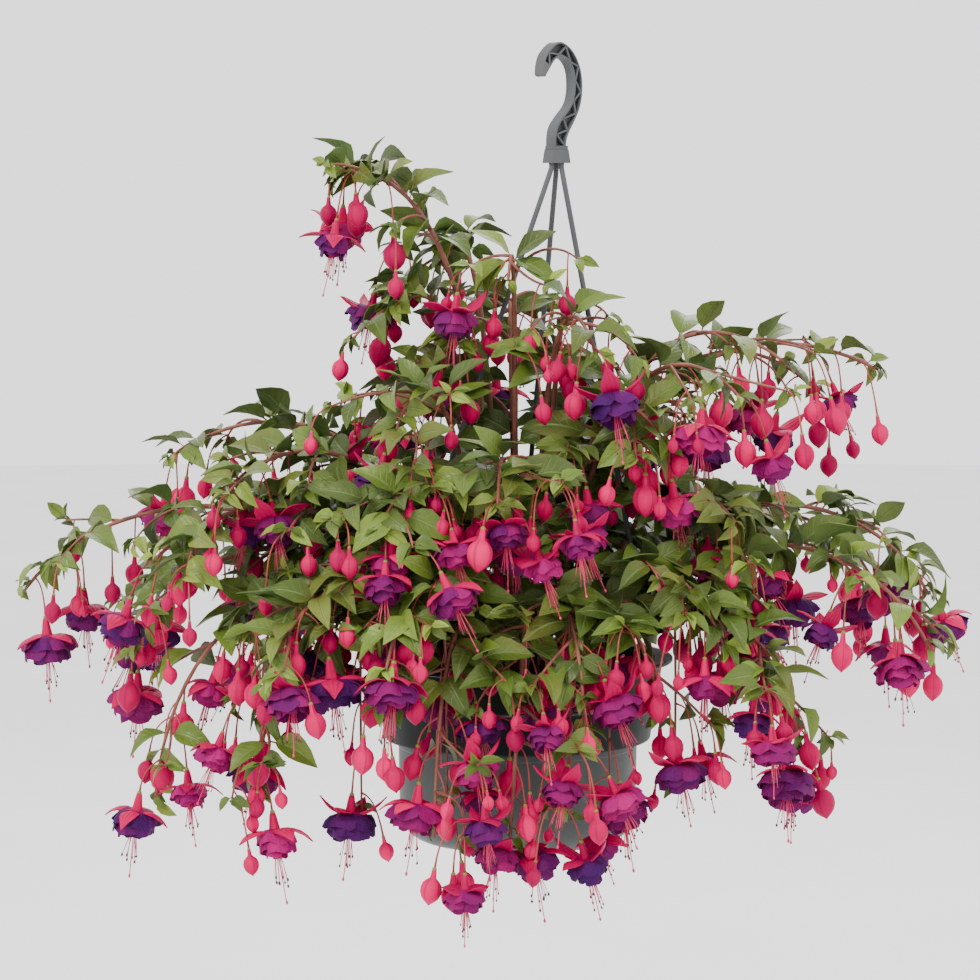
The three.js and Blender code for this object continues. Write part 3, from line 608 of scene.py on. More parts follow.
def grow_flowers():
    for stem in stems:
        grow_in_box(stem, "third_bud", lambda: hanging_at(stem, "bud", 2))
        if stem["line"][-1][2] < RIM_Z + LOW_TIP:
            for kind, order in LOW_FLOWERS:
                grow_in_box(stem, "low", lambda: hanging_at(stem, kind, order))
    for kind, share, front, order in SHOOT_FLOWERS:
        for stem in stems:
            for handles in stem["shoots"]:
                if draw(0, 1) < share + front * ease(-handles[-1][1], 90, 160):
                    flower_on(stem, handles, kind, order)


def grow_leaves():
    for stem in stems:
        fill_line(stem, stem["handles"], FILL["first"], FILL["spacing"], FILL["largest"])
        for handles in stem["shoots"]:
            fill_line(stem, handles, SHOOTS["first"], SHOOTS["spacing"], SHOOTS["largest"])
            tuft(stem, handles)
        for handles in stem["pendants"]:
            tuft(stem, handles)
        tuft(stem, stem["handles"])


grow_shoots()
grow_flowers()
grow_leaves()

# ---------- shapes: small meshes that are copied into the sprays ----------


class Shape:
    """A small closed mesh in its own units, with the place of each of its faces along and across it."""

    def __init__(self, name, bm, place):
        """place gives a vertex's share along and across, and its side: 1 on an underside, otherwise 0."""
        along_across = bm.loops.layers.uv.new("blade")
        marks = bm.loops.layers.uv.new("tone")
        for face in bm.faces:
            face.smooth = True
            for loop in face.loops:
                s, w, side = place(loop.vert)
                loop[along_across].uv = (s, w)
                loop[marks].uv = (0, side)
        self.mesh = bpy.data.meshes.new(name)
        bm.to_mesh(self.mesh)
        bm.free()
        self.at = np.empty(len(self.mesh.vertices) * 3)
        self.mesh.vertices.foreach_get("co", self.at)
        self.at = self.at.reshape(-1, 3)
        self.marks = np.empty(len(self.mesh.loops) * 2, np.float32)
        self.mesh.uv_layers["tone"].uv.foreach_get("vector", self.marks)

    def add_to(self, piece, corners, tone):
        """Adds a copy to the piece, with its vertices at the corners and its own tone for the finish."""
        copy = self.mesh.copy()
        copy.vertices.foreach_set("co", np.ascontiguousarray(corners, dtype=np.float32).ravel())
        marks = self.marks.copy()
        marks[0::2] = tone
        copy.uv_layers["tone"].uv.foreach_set("vector", marks)
        piece.from_mesh(copy)
        bpy.data.meshes.remove(copy)

    def put(self, piece, at, axes, size, tone):
        """Adds a copy that stands at a place in millimetres, turned to the axes."""
        turn = np.array([axes["lengthwise"], axes["across"], axes["out"]])
        self.add_to(piece, np.array(at) + (self.at * size) @ turn, tone)


def blade_shape(name, rows, columns, surface, thickness):
    """A thin closed blade. surface gives the point of its upper face at a share along and across."""
    bm = bmesh.new()
    bmesh.ops.create_grid(bm, x_segments=rows, y_segments=columns, size=1)
    bm.verts.index_update()
    places = {}
    for vert in bm.verts:
        s, w = (vert.co.x + 1) / 2, vert.co.y
        vert.co = surface(s, w)
        places[vert.index] = (Vector(vert.co), s, w)
    bmesh.ops.recalc_face_normals(bm, faces=bm.faces)
    if sum(face.normal.z for face in bm.faces) < 0:
        bmesh.ops.reverse_faces(bm, faces=bm.faces)
    bmesh.ops.solidify(bm, geom=bm.faces[:], thickness=thickness)
    bmesh.ops.recalc_face_normals(bm, faces=bm.faces)
    spots = list(places.values())

    def place(vert):
        corner, s, w = min(spots, key=lambda spot: (spot[0] - vert.co).length_squared)
        return s, (w + 1) / 2, 0 if (corner - vert.co).length < 1e-6 else 1

    def sides(item):
        return len({place(vert)[2] for vert in item.verts})

    for edge in bm.edges:
        shared = len(edge.link_faces) == 2 and sides(edge) == 1
        on_rim = shared and any(sides(face) == 2 for face in edge.link_faces)
        edge.smooth = not on_rim
    return Shape(name, bm, place)


def between(stops, s):
    """A smooth line through (place, value) stops."""
    for (s0, v0), (s1, v1) in zip(stops, stops[1:]):
        if s <= s1:
            t = (s - s0) / (s1 - s0)
            return v0 + (v1 - v0) * t * t * (3 - 2 * t)
    return stops[-1][1]


# A leaf's rows, from its stalk to its tip: the place along it and half its width there, both as shares
# of its length. Leaves up to SMALL_LEAF long have fewer.
LEAF_WIDTHS = [
    (0, 0.011), (0.12, 0.014), (0.2, 0.12), (0.32, 0.208),
    (0.47, 0.24), (0.63, 0.216), (0.8, 0.13), (1, 0.003),
]
SMALL_LEAF_WIDTHS = [(0, 0.011), (0.13, 0.03), (0.31, 0.205), (0.54, 0.228), (0.78, 0.135), (1, 0.003)]
SMALL_LEAF = 36
BLADE = {"tooth": 0.035, "rib": 0.008, "thickness": 0.011}


def leaf_shape(name, widths, columns, habit):
    """A leaf of one habit: its droop, twist, waved edge, fold along the midrib, and where the waves start."""
    droop, twist, wave, fold, phase = habit
    rows = len(widths) - 1

    def surface(share, w):
        row = round(share * rows)
        s, half = widths[row]
        tooth = 1 + BLADE["tooth"] * (-1) ** row * (abs(w) > 0.9 and 0.2 < s < 0.95)
        y = w * half * tooth
        z = arch(s) - droop * s * s + fold * abs(y) - BLADE["rib"] * (w == 0) * (0.14 < s < 0.95)
        z += wave * half * abs(w) * math.sin(9 * s + phase * (1 if w > 0 else 2.1))
        turn = twist * s
        return Vector((s - 0.4 * droop * s * s, y * math.cos(turn), z + y * math.sin(turn)))

    return blade_shape(name, rows, columns, surface, BLADE["thickness"])


# How a sepal's middle line sets out and bends, as shares of its length, and its twist in radians.
SEPAL_WAYS = {
    "dome": [(0.46, -0.88, 0.2), (0.4, -0.72, -0.3), (0.34, -0.6, 0.1)],
    "spread": [(0.24, -0.3, 0.6), (0.0, 0.14, -0.7), (0.04, 0.3, 0.4), (0.3, -0.45, -0.35)],
}
SEPAL = {"widths": [(0, 0.16), (0.4, 0.27), (0.62, 0.24), (0.85, 0.115), (1, 0.004)], "thickness": 0.032}


def sepal_shape(name, rise, bend, twist):
    def surface(s, w):
        half = between(SEPAL["widths"], s)
        z = rise * s + bend * s * s - 0.2 * half * w * w
        x, y, turn = s * (1 - 0.12 * abs(bend) * s), w * half, twist * s
        return Vector((x, y * math.cos(turn), z + y * math.sin(turn)))

    return blade_shape(name, 5, 4, surface, SEPAL["thickness"])


# Whorls of petals, from the outside in: petals, reach, depth of the rim below the throat, start, half of
# the angle that each petal takes, height of its folds, how far it turns down, its scallop, and its cells.
WHORL = ["petals", "reach", "depth", "start", "half", "fold", "turn", "scallop", "cells"]
WHORLS = [dict(zip(WHORL, row)) for row in (
    (6, 20, 12.5, 0, 36, 2.2, 74, 2.2, (4, 6)),
    (5, 15.5, 19, 0.6, 44, 2.1, 94, 2.6, (4, 5)),
    (4, 9.5, 22.5, 1.2, 52, 1.5, 106, 2, (3, 5)),
)]
PETAL = {"throat_r": 3.6, "fullness": 2.2, "thickness": 0.45}


def petal_shape(name, whorl, phase):
    """A broad round petal: out from the throat, full in the middle, then down to a wavy rim."""
    last = rad(whorl["turn"])

    def surface(s, w):
        turn, edge = last * s, s * s
        full = PETAL["fullness"] * (1 - w * w) * math.sin(math.pi * s ** 0.8)
        folds = whorl["fold"] * edge * math.cos(3.7 * w + phase)
        r = PETAL["throat_r"] + whorl["reach"] * math.sin(turn) + full + folds
        z = -THROAT + 1.5 - whorl["start"] - whorl["depth"] * (1 - math.cos(turn)) / (1 - math.cos(last))
        z += 0.7 * whorl["fold"] * edge * math.sin(3.3 * w + 1.3 * phase) + 0.5 * full
        z += whorl["scallop"] * edge * w ** 4
        angle = rad(whorl["half"]) * w * (0.74 + 0.26 * math.sin(math.pi * min(1, 0.2 + 0.62 * s)))
        return Vector((r * math.cos(angle), r * math.sin(angle), z))

    return blade_shape(name, *whorl["cells"], surface, PETAL["thickness"])


def round_shape(name, sides, levels, grooves=0.0):
    """A round body from a sphere whose rings are set at the levels, each a (radius, height), from the top."""
    bm = bmesh.new()
    last = len(levels) - 1
    bmesh.ops.create_uvsphere(bm, u_segments=sides, v_segments=last, radius=1)
    bm.verts.index_update()
    shares = {}
    for vert in bm.verts:
        ring = round(math.acos(max(-1, min(1, vert.co.z))) / math.pi * last)
        at_pole = ring in (0, last)
        turn = 0 if at_pole else math.atan2(vert.co.y, vert.co.x)
        radius, height = levels[ring]
        radius *= 1 - grooves * math.cos(4 * turn) * math.sin(math.pi * ring / last)
        shares[vert.index] = (ring / last, (turn / math.pi + 1) / 2)
        vert.co = (0, 0, height) if at_pole else (radius * math.cos(turn), radius * math.sin(turn), height)
    bmesh.ops.recalc_face_normals(bm, faces=bm.faces)
    return Shape(name, bm, lambda vert: (*shares[vert.index], 0))


BUD_LEVELS = [
    (0, -1.4), (1.9, -2), (2.3, -6), (2.8, -9.6), (5.4, -11.6), (7.9, -14.4), (9.1, -18.4), (8.9, -22.8),
    (7.3, -26.8), (4.6, -29.8), (1.9, -31.9), (0, -33.6),
]
TUBE_LEVELS = [
    (0, -2.4), (2.2, -2.6), (2.8, -5), (3.3, -8), (3.8, -11.5),
    (4.5, -15), (5.6, -17.6), (4.6, -18.8), (0, -19),
]
OVARY_LEVELS = [(0, 0.6), (1.6, -0.6), (2.1, -1.9), (1.7, -3.3), (0, -4.4)]
ANTHER_LEVELS = [(0, 1.4), (0.75, 0.7), (0.95, -0.2), (0.6, -1), (0, -1.5)]
# Each habit's droop, twist, waved edge, fold, and where its waves start.
HABITS = [
    (0.02, 0.1, 0.06, 0.34, 0), (0.14, -0.25, 0.1, 0.5, 1), (-0.04, 0.3, 0.07, 0.22, 2.2),
    (0.24, 0.1, 0.1, 0.4, 3.1), (0.08, -0.1, 0.14, 0.14, 4.4), (0.18, 0.4, 0.08, 0.55, 5.2),
    (0.0, -0.4, 0.09, 0.28, 0.7), (0.3, -0.15, 0.1, 0.45, 2.9),
]
LEAVES = [leaf_shape(f"leaf_{k}", LEAF_WIDTHS, 4, habit) for k, habit in enumerate(HABITS)]
SMALL_LEAVES = [leaf_shape(f"small_leaf_{k}", SMALL_LEAF_WIDTHS, 2, habit) for k, habit in enumerate(HABITS)]
SEPALS = {
    way: [sepal_shape(f"sepal_{way}_{k}", *line) for k, line in enumerate(lines)]
    for way, lines in SEPAL_WAYS.items()
}
PETALS = [
    [petal_shape(f"petal_{n}_{k}", whorl, 1.9 * k + n) for k in range(4)] for n, whorl in enumerate(WHORLS)
]
BUD = round_shape("bud", 12, BUD_LEVELS, 0.06)
TUBE = round_shape("tube", 10, TUBE_LEVELS)
OVARY = round_shape("ovary", 7, OVARY_LEVELS)
ANTHER = round_shape("anther", 5, ANTHER_LEVELS)

rods = {}


def add_rod(piece, points, radii, sides, tone):
    """A round rod along points: a sphere's rings moved onto them, with its poles as the flat ends."""
    rings = len(points)
    if (sides, rings) not in rods:
        rods[sides, rings] = round_shape("rod", sides, [(1, ring) for ring in range(rings + 2)])
        at = rods[sides, rings].at
        rods[sides, rings].ring = np.clip(np.round(at[:, 2]).astype(int) - 1, 0, rings - 1)
    shape = rods[sides, rings]
    path = np.array(points)
    ahead = np.gradient(path, axis=0)
    ahead /= np.linalg.norm(ahead, axis=1)[:, None]
    start = np.cross(ahead[0], (0.0, 0.0, 1.0))
    across = start if np.linalg.norm(start) > 0.1 else np.array((1.0, 0.0, 0.0))
    frames = []
    for way in ahead:
        across = across - way * (across @ way)
        across /= np.linalg.norm(across)
        frames.append((across, np.cross(way, across)))
    frames = np.array(frames)[shape.ring]
    reach = np.array(radii)[shape.ring][:, None]
    corners = path[shape.ring] + reach * (shape.at[:, :1] * frames[:, 0] + shape.at[:, 1:2] * frames[:, 1])
    shape.add_to(piece, corners, tone)


# ---------- finishes ----------


class Finish:
    """A material with its surface shader, and short ways to add what feeds it."""

    def __init__(self, name, **values):
        self.material = bpy.data.materials.new(name)
        self.material.use_nodes = True
        self.tree = self.material.node_tree
        self.surface = self.tree.nodes["Principled BSDF"]
        for socket, value in values.items():
            self.surface.inputs[socket.replace("_", " ")].default_value = value

    def node(self, kind, inputs=(), **settings):
        """A node whose inputs are linked to sockets, or hold values."""
        node = self.tree.nodes.new(kind)
        for key, value in settings.items():
            setattr(node, key, value)
        for key, value in dict(inputs).items():
            if isinstance(value, bpy.types.NodeSocket):
                self.tree.links.new(value, node.inputs[key])
            else:
                node.inputs[key].default_value = value
        return node

    def place(self):
        return self.node("ShaderNodeTexCoord").outputs["Object"]

    def map(self, name):
        """A UV map's parts: "blade" has the place along and across, "tone" has a copy's tone and side."""
        found = self.node("ShaderNodeUVMap", uv_map=name).outputs[0]
        return self.node("ShaderNodeSeparateXYZ", {0: found}).outputs

    def math(self, operation, a, b=0.0, c=0.0):
        return self.node("ShaderNodeMath", {0: a, 1: b, 2: c}, operation=operation).outputs[0]

    def spread(self, value, low, high, to_low=0.0, to_high=1.0):
        """Eases from to_low to to_high as the value goes from low to high."""
        inputs = {"Value": value, "From Min": low, "From Max": high, "To Min": to_low, "To Max": to_high}
        return self.node("ShaderNodeMapRange", inputs, interpolation_type="SMOOTHSTEP").outputs[0]

    def noise(self, scale, detail=3.0, roughness=0.55, vector=None):
        inputs = {"Vector": vector or self.place(), "Scale": scale, "Detail": detail, "Roughness": roughness}
        return self.node("ShaderNodeTexNoise", inputs).outputs[0]

    def ramp(self, value, stops):
        node = self.node("ShaderNodeValToRGB", {0: value})
        ramp = node.color_ramp
        while len(ramp.elements) < len(stops):
            ramp.elements.new(0.5)
        for element, (at, colour) in zip(ramp.elements, stops):
            element.position = at
            element.color = (*colour, 1)
        return node.outputs[0]

    def blend(self, factor, a, b):
        a, b = ((*colour, 1) if isinstance(colour, tuple) else colour for colour in (a, b))
        return self.node("ShaderNodeMix", {0: factor, 6: a, 7: b}, data_type="RGBA").outputs[2]

    def set(self, socket, value):
        self.tree.links.new(value, self.surface.inputs[socket])
        return self

    def bump(self, height, depth):
        """Raises the surface by the height, a share of the depth in millimetres."""
        node = self.node("ShaderNodeBump", {"Height": height, "Distance": depth * MM})
        return self.set("Normal", node.outputs[0])


def leaf_finish():
    """Green from shaded to sunlit, partly olive, with paler veins and underside and a red stalk."""
    f = Finish("leaf_satin", Specular_IOR_Level=0.44, Specular_Tint=(0.92, 1, 0.62, 1))
    s, across, _ = f.map("blade")
    tone, side, _ = f.map("tone")
    w = f.math("ABSOLUTE", f.math("MULTIPLY_ADD", across, 2.0, -1.0))
    mottle = f.noise(70, 4)
    shade = f.math("ADD", tone, f.math("MULTIPLY_ADD", mottle, 0.3, -0.15))
    green = f.ramp(shade, [
        (0.0, (0.016, 0.025, 0.004)), (0.25, (0.031, 0.049, 0.006)), (0.5, (0.057, 0.09, 0.01)),
        (0.75, (0.103, 0.153, 0.016)), (1.0, (0.215, 0.285, 0.032)),
    ])
    green = f.blend(f.spread(f.noise(15, 2), 0.47, 0.68, 0, 0.6), green, (0.12, 0.112, 0.019))
    slant = f.math("MULTIPLY_ADD", w, -1.7, f.math("MULTIPLY", s, 8.0))
    from_rib = f.math("ABSOLUTE", f.math("SUBTRACT", f.math("FRACT", slant), 0.5))
    rib = f.math("MULTIPLY", f.spread(from_rib, 0.0, 0.15, 1, 0), f.spread(w, 1.0, 0.75))
    midrib = f.spread(w, 0.04, 0.14, 1, 0)
    vein = f.math("MAXIMUM", f.math("MULTIPLY", rib, 0.35), midrib)
    veined = f.blend(f.math("MULTIPLY", vein, 0.42), green, (0.13, 0.21, 0.06))
    paler = f.blend(f.math("MULTIPLY", side, 0.42), veined, (0.075, 0.135, 0.05))
    flushed = f.blend(f.math("MULTIPLY", f.spread(s, 0.3, 0.05), midrib), paler, (0.25, 0.045, 0.035))
    f.set("Base Color", f.blend(f.spread(s, 0.16, 0.1), flushed, (0.24, 0.075, 0.045)))
    f.set("Roughness", f.math("MULTIPLY_ADD", side, 0.2, f.math("MULTIPLY_ADD", mottle, 0.3, 0.25)))
    return f.bump(f.math("SUBTRACT", f.math("MULTIPLY", f.noise(130, 2), 0.9), vein), 0.5)


def stem_finish(name, dark, light, tip=None):
    """Bark or stalk skin. tip is the colour of what has the highest tone, the green ovaries."""
    f = Finish(name, Roughness=0.5, Specular_IOR_Level=0.25)
    skin = f.ramp(f.noise(45, 4), [(0.3, dark), (0.7, light)])
    if tip:
        skin = f.blend(f.spread(f.map("tone")[0], 0.8, 1.0), skin, tip)
    f.set("Base Color", skin)
    return f.bump(f.noise(900, 3), 0.15)


def sepal_finish():
    """Waxy red with darker lines along it, for sepals, tubes and buds."""
    f = Finish("sepal_waxy", Specular_IOR_Level=0.07)
    across = f.map("blade")[1]
    tone, side, _ = f.map("tone")
    mottle = f.noise(55, 3)
    shade = f.math("ADD", tone, f.math("MULTIPLY_ADD", mottle, 0.5, -0.25))
    red = f.ramp(shade, [
        (0.0, (0.19, 0.001, 0.036)), (0.35, (0.33, 0.001, 0.054)),
        (0.7, (0.5, 0.001, 0.072)), (1.0, (0.72, 0.004, 0.108)),
    ])
    lines = f.math("COSINE", f.math("MULTIPLY", across, 4 * math.tau))
    streaked = f.blend(f.spread(lines, 0.75, 1.0, 0, 0.45), red, (0.22, 0.0, 0.04))
    f.set("Base Color", f.blend(f.math("MULTIPLY", side, 0.4), streaked, (0.44, 0.001, 0.075)))
    f.set("Roughness", f.math("MULTIPLY_ADD", mottle, 0.25, 0.32))
    return f.bump(f.math("ADD", lines, f.math("MULTIPLY", f.noise(500, 3), 1.2)), 0.12)


def corolla_finish():
    """Velvet from violet to plum, rosy at the throat and faintly veined, on crumpled petals."""
    f = Finish("petal_velvet", Specular_IOR_Level=0.1)
    s, across, _ = f.map("blade")
    tone, side, _ = f.map("tone")
    mottle = f.noise(50, 3)
    shade = f.math("ADD", tone, f.math("MULTIPLY_ADD", mottle, 0.36, -0.18))
    violet = f.ramp(shade, [
        (0.0, (0.036, 0.003, 0.064)), (0.25, (0.07, 0.003, 0.08)), (0.5, (0.13, 0.003, 0.074)),
        (0.75, (0.21, 0.003, 0.086)), (1.0, (0.33, 0.005, 0.112)),
    ])
    veins = f.math("SINE", f.math("MULTIPLY", across, 34.0))
    rosy = f.blend(f.spread(s, 0.45, 0.06), violet, (0.3, 0.0, 0.06))
    vein = f.math("MULTIPLY", f.spread(veins, 0.3, 1.0), f.spread(s, 0.9, 0.3, 0, 0.3))
    lined = f.blend(vein, rosy, (0.18, 0.0, 0.07))
    f.set("Base Color", f.blend(f.math("MULTIPLY", side, 0.3), lined, (0.1, 0.0, 0.07)))
    f.set("Roughness", f.math("MULTIPLY_ADD", mottle, 0.2, 0.5))
    crumple = f.math("MULTIPLY", f.noise(170, 3, 0.6), 4.0)
    return f.bump(f.math("MULTIPLY_ADD", veins, 0.12, crumple), 0.55)


def plain_growth_finish(name, dark, light, roughness):
    f = Finish(name, Roughness=roughness, Specular_IOR_Level=0.25)
    f.set("Base Color", f.ramp(f.noise(160, 3), [(0.3, dark), (0.7, light)]))
    return f.bump(f.noise(1500, 2), 0.1)


def moulded_finish(name, dark, light, roughness, dust=0.12, painted_highlight_line=None):
    """Moulded plastic: a fine grain, faint flow marks, dusty patches. The last argument, when given, is the
    height of a raised line that gets a painted highlight, and it also paints highlights along the body's
    convex edges."""
    f = Finish(name, Specular_IOR_Level=0.1)
    patches = f.noise(9, 5, 0.62)
    fine = f.noise(420, 3)
    stretched = f.node("ShaderNodeMapping", {"Vector": f.place(), "Scale": (26, 26, 3)}).outputs[0]
    runs = f.noise(1, 5, 0.6, stretched)
    colour = f.ramp(patches, [(0.3, dark), (0.72, light)])
    colour = f.blend(f.spread(runs, 0.52, 0.78, 0, dust), colour, (0.2, 0.2, 0.19))
    colour = f.blend(f.spread(fine, 0.62, 0.85, 0, 0.6 * dust), colour, (0.2, 0.21, 0.2))
    # Painted highlight: paler along the raised line and on convex edges, where light catches them.
    if painted_highlight_line is not None:
        height = f.node("ShaderNodeSeparateXYZ", {0: f.place()}).outputs[2]
        off = f.math("ABSOLUTE", f.math("SUBTRACT", height, painted_highlight_line * MM))
        colour = f.blend(f.spread(off, 0.0022, 0.0008, 0, 0.6), colour, (0.08, 0.095, 0.088))
        edge = f.node("ShaderNodeNewGeometry").outputs["Pointiness"]
        colour = f.blend(f.spread(edge, 0.53, 0.62, 0, 0.45), colour, (0.25, 0.26, 0.26))
    f.set("Base Color", colour)
    worn = f.spread(patches, 0.3, 0.7, roughness - 0.07, roughness + 0.1)
    f.set("Roughness", f.math("ADD", worn, f.spread(runs, 0.5, 0.8, 0, 0.12)))
    return f.bump(f.math("ADD", fine, f.math("MULTIPLY", patches, 0.6)), 0.12)


def soil_finish():
    f = Finish("potting_mix", Specular_IOR_Level=0.2)
    grain = f.noise(260, 6, 0.7)
    bits = f.node("ShaderNodeTexVoronoi", {"Vector": f.place(), "Scale": 330.0}).outputs["Color"]
    tint = f.node("ShaderNodeSeparateColor", {0: bits}).outputs[0]
    earth = f.ramp(grain, [
        (0.3, (0.009, 0.006, 0.004)), (0.55, (0.03, 0.018, 0.011)), (0.8, (0.085, 0.052, 0.03)),
    ])
    f.set("Base Color", f.blend(f.spread(tint, 0.86, 0.93, 0, 0.8), earth, (0.16, 0.1, 0.055)))
    f.set("Roughness", f.spread(grain, 0.3, 0.7, 0.85, 1.0))
    return f.bump(grain, 2.0)


FINISHES = {
    "leaf": leaf_finish(),
    "stem": stem_finish("stem_bark", (0.1, 0.03, 0.024), (0.26, 0.09, 0.055)),
    "pedicel": stem_finish("pedicel_red", (0.2, 0.022, 0.026), (0.34, 0.07, 0.045), (0.17, 0.2, 0.03)),
    "sepal": sepal_finish(),
    "corolla": corolla_finish(),
    "stamen": plain_growth_finish("stamen_thread", (0.5, 0.01, 0.08), (0.6, 0.05, 0.12), 0.4),
    "anther": plain_growth_finish("anther_dust", (0.04, 0.012, 0.02), (0.14, 0.07, 0.06), 0.8),
    "pot": moulded_finish(
        "pot_plastic", (0.005, 0.0078, 0.0074), (0.009, 0.0125, 0.0118), 0.45, 0.02,
        RIM_Z - POT["line_depth"]),
    "reservoir": moulded_finish("reservoir_plastic", (0.047, 0.053, 0.051), (0.068, 0.075, 0.072), 0.4),
    "hanger": moulded_finish("hanger_plastic", (0.055, 0.057, 0.06), (0.095, 0.098, 0.101), 0.42, 0.05),
    "soil": soil_finish(),
}


def finish_piece(name, bm, kind, nodes=()):
    """Makes a piece of the object from a mesh in millimetres."""
    mesh = bpy.data.meshes.new(name)
    bmesh.ops.scale(bm, vec=(MM, MM, MM), verts=bm.verts)
    bm.to_mesh(mesh)
    bm.free()
    piece = bpy.data.objects.new(name, mesh)
    bpy.context.scene.collection.objects.link(piece)
    mesh.materials.append(FINISHES[kind].material)
    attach(piece, "root")
    if nodes:
        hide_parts(*nodes)
    return piece


# ---------- the sprays ----------


def leaf_shade_and_tone(leaf):
    """Painted shade: leaves low and deep in the plant, where shade falls, are darker. Young ones are
    yellower, and each leaf's tone also differs at random.
    """
    x, y, z = leaf["at"]
    out = math.hypot(x - POT_X, y) / 330 + (z - RIM_Z) / 420
    return 0.2 + 0.34 * min(1, max(0, out)) + 0.28 * leaf.get("young", 0) + draw(-0.3, 0.32)


def dress_leaf(parts, stem, leaf):
    at = bezier(stem["handles"], leaf["share"]) if "share" in leaf else leaf["at"]
    shape = (LEAVES if leaf["size"] > SMALL_LEAF else SMALL_LEAVES)[int(draw(0, len(HABITS)))]
    shape.put(parts["leaf"], at, leaf["axes"], leaf["size"], leaf_shade_and_tone(leaf))


PEDICEL_RADII = [0.95, 0.72, 0.65, 0.65, 0.65, 0.68, 0.75, 0.95]


def dress_pedicel(parts, stem, flower):
    at = bezier(flower.get("twig", stem["handles"]), flower["share"])
    knee, top = flower["knee"], flower["top"]
    points = points_on([at, mix(at, knee, 0.8), mix(top, knee, 0.7), top], 7)
    add_rod(parts["pedicel"], points, PEDICEL_RADII, 5, 0.3)
    OVARY.put(parts["pedicel"], top, flower["axes"], flower["size"], 1)


def dress_bud(parts, stem, bud):
    dress_pedicel(parts, stem, bud)
    BUD.put(parts["sepal"], bud["top"], bud["axes"], bud["size"], draw(0.3, 0.95))


def turned_axes(axes, turn, tilt):
    """The axes turned about their own up, then tipped up at the far end, both in degrees."""
    c, s = math.cos(rad(turn)), math.sin(rad(turn))
    ahead = add(scaled(axes["lengthwise"], c), axes["across"], s)
    side = add(scaled(axes["lengthwise"], -s), axes["across"], c)
    c, s = math.cos(rad(tilt)), math.sin(rad(tilt))
    return {
        "lengthwise": add(scaled(ahead, c), axes["out"], s), "across": side,
        "out": add(scaled(axes["out"], c), ahead, -s),
    }


def dress_sepals(parts, bloom, red):
    """Four sepals: domed over the petals on the blooms whose sepals hang, and spread on the others."""
    axes, size = bloom["axes"], bloom["size"]
    mouth = placed(bloom["top"], axes, (0, 0, -17.4 * size))
    dome = bloom["lift"] < 2.5
    shapes = SEPALS["dome" if dome else "spread"]
    for k in range(4):
        shape = shapes[int(draw(0, len(shapes)))]
        turn = 90 * k + draw(-7, 7)
        tilt = draw(-2, 8) if dome else math.degrees(math.asin(bloom["lift"] / 27)) + draw(-9, 6)
        start = add(mouth, turned_axes(axes, turn, 0)["lengthwise"], 3 * size)
        length = 29 * size * draw(0.96, 1.08)
        shape.put(parts["sepal"], start, turned_axes(axes, turn, tilt), length, red + draw(-0.1, 0.15))


STAMENS = {"count": 8, "radii": [0.36, 0.36, 0.32, 0.3]}
PISTIL = {"from": 24, "length": 47, "radii": [0.5, 0.46, 0.42, 0.42], "stigma": 1.25}


def dress_threads(parts, bloom):
    """The stamens with their anthers, and the longer pistil."""
    top, axes, size = bloom["top"], bloom["axes"], bloom["size"]
    for k in range(STAMENS["count"]):
        way = turned_axes(axes, 360 // STAMENS["count"] * k + draw(-15, 15), 0)
        reach, depth = draw(2, 8), draw(49, 62)
        line = [(1.6, 24), (2.4, 36), (0.5 * reach + 1.3, 0.5 * depth + 18), (reach, depth)]
        points = [placed(top, way, (r * size, 0, -h * size)) for r, h in line]
        add_rod(parts["stamen"], points, STAMENS["radii"], 4, 0.5)
        ANTHER.put(parts["anther"], points[-1], way, size * draw(0.8, 1.15), 0.5)
    bend = draw(-4, 4)
    points = []
    for t in (0, 0.4, 0.75, 1):
        down = -PISTIL["from"] - PISTIL["length"] * t
        points.append(placed(top, axes, (bend * t * t * size, 0.6 * bend * t * size, down * size)))
    add_rod(parts["stamen"], points, PISTIL["radii"], 5, 0.5)
    ANTHER.put(parts["stamen"], points[-1], axes, PISTIL["stigma"] * size, 0.5)


def dress_bloom(parts, stem, bloom):
    dress_pedicel(parts, stem, bloom)
    top, axes, size = bloom["top"], bloom["axes"], bloom["size"]
    red, violet, young = draw(0.35, 0.85), draw(0.0, 1.0), draw(0, 1)
    fullness = size * np.array((1 - 0.34 * young, 1 - 0.34 * young, 1 - 0.12 * young))
    TUBE.put(parts["sepal"], top, axes, size, red)
    dress_sepals(parts, bloom, red)
    for shapes, whorl in zip(PETALS, WHORLS):
        first = draw(0, 360)
        for k in range(whorl["petals"]):
            shape = shapes[int(draw(0, len(shapes)))]
            way = turned_axes(axes, first + 360 * k / whorl["petals"] + draw(-6, 6), draw(-3, 3))
            full = fullness * draw(0.94, 1.05)
            shape.put(parts["corolla"], top, way, full, violet + draw(-0.16, 0.18))
    dress_threads(parts, bloom)


DRESS = {"leaf": dress_leaf, "bud": dress_bud, "bloom": dress_bloom}
PIECES = {
    "leaf": "leaves", "stem": "stems", "pedicel": "pedicels", "sepal": "sepals",
    "corolla": "corollas", "stamen": "stamens", "anther": "anthers",
}


def stalk_radii(count, thick, taper, node):
    """Radii that taper along a stem, thicker at every other point for its nodes."""
    return [thick - taper * k / count + node * (k % 2) for k in range(count + 1)]


def dress_stem(parts, stem):
    steps, shoot_steps = 26, 9
    points = [stem["root"]] + points_on(stem["handles"], steps)
    add_rod(parts["stem"], points, [2.7] + stalk_radii(steps, 2.6, 1.5, 0.28), 8, 0.5)
    for handles in stem["shoots"] + stem["pendants"]:
        radii = stalk_radii(shoot_steps, 1.35, 0.6, 0.12)
        add_rod(parts["stem"], points_on(handles, shoot_steps), radii, 6, 0.5)
    for growth in stem["growth"]:
        DRESS[growth["kind"]](parts, stem, growth)


for spray, numbers in SPRAYS.items():
    parts = {kind: bmesh.new() for kind in PIECES}
    for number in numbers:
        dress_stem(parts, stems[number])
    nodes = [f"fuchsia_stem_{number + 1:02d}" for number in numbers]
    for kind, plural in PIECES.items():
        finish_piece(f"{spray}_{plural}", parts[kind], kind, nodes)


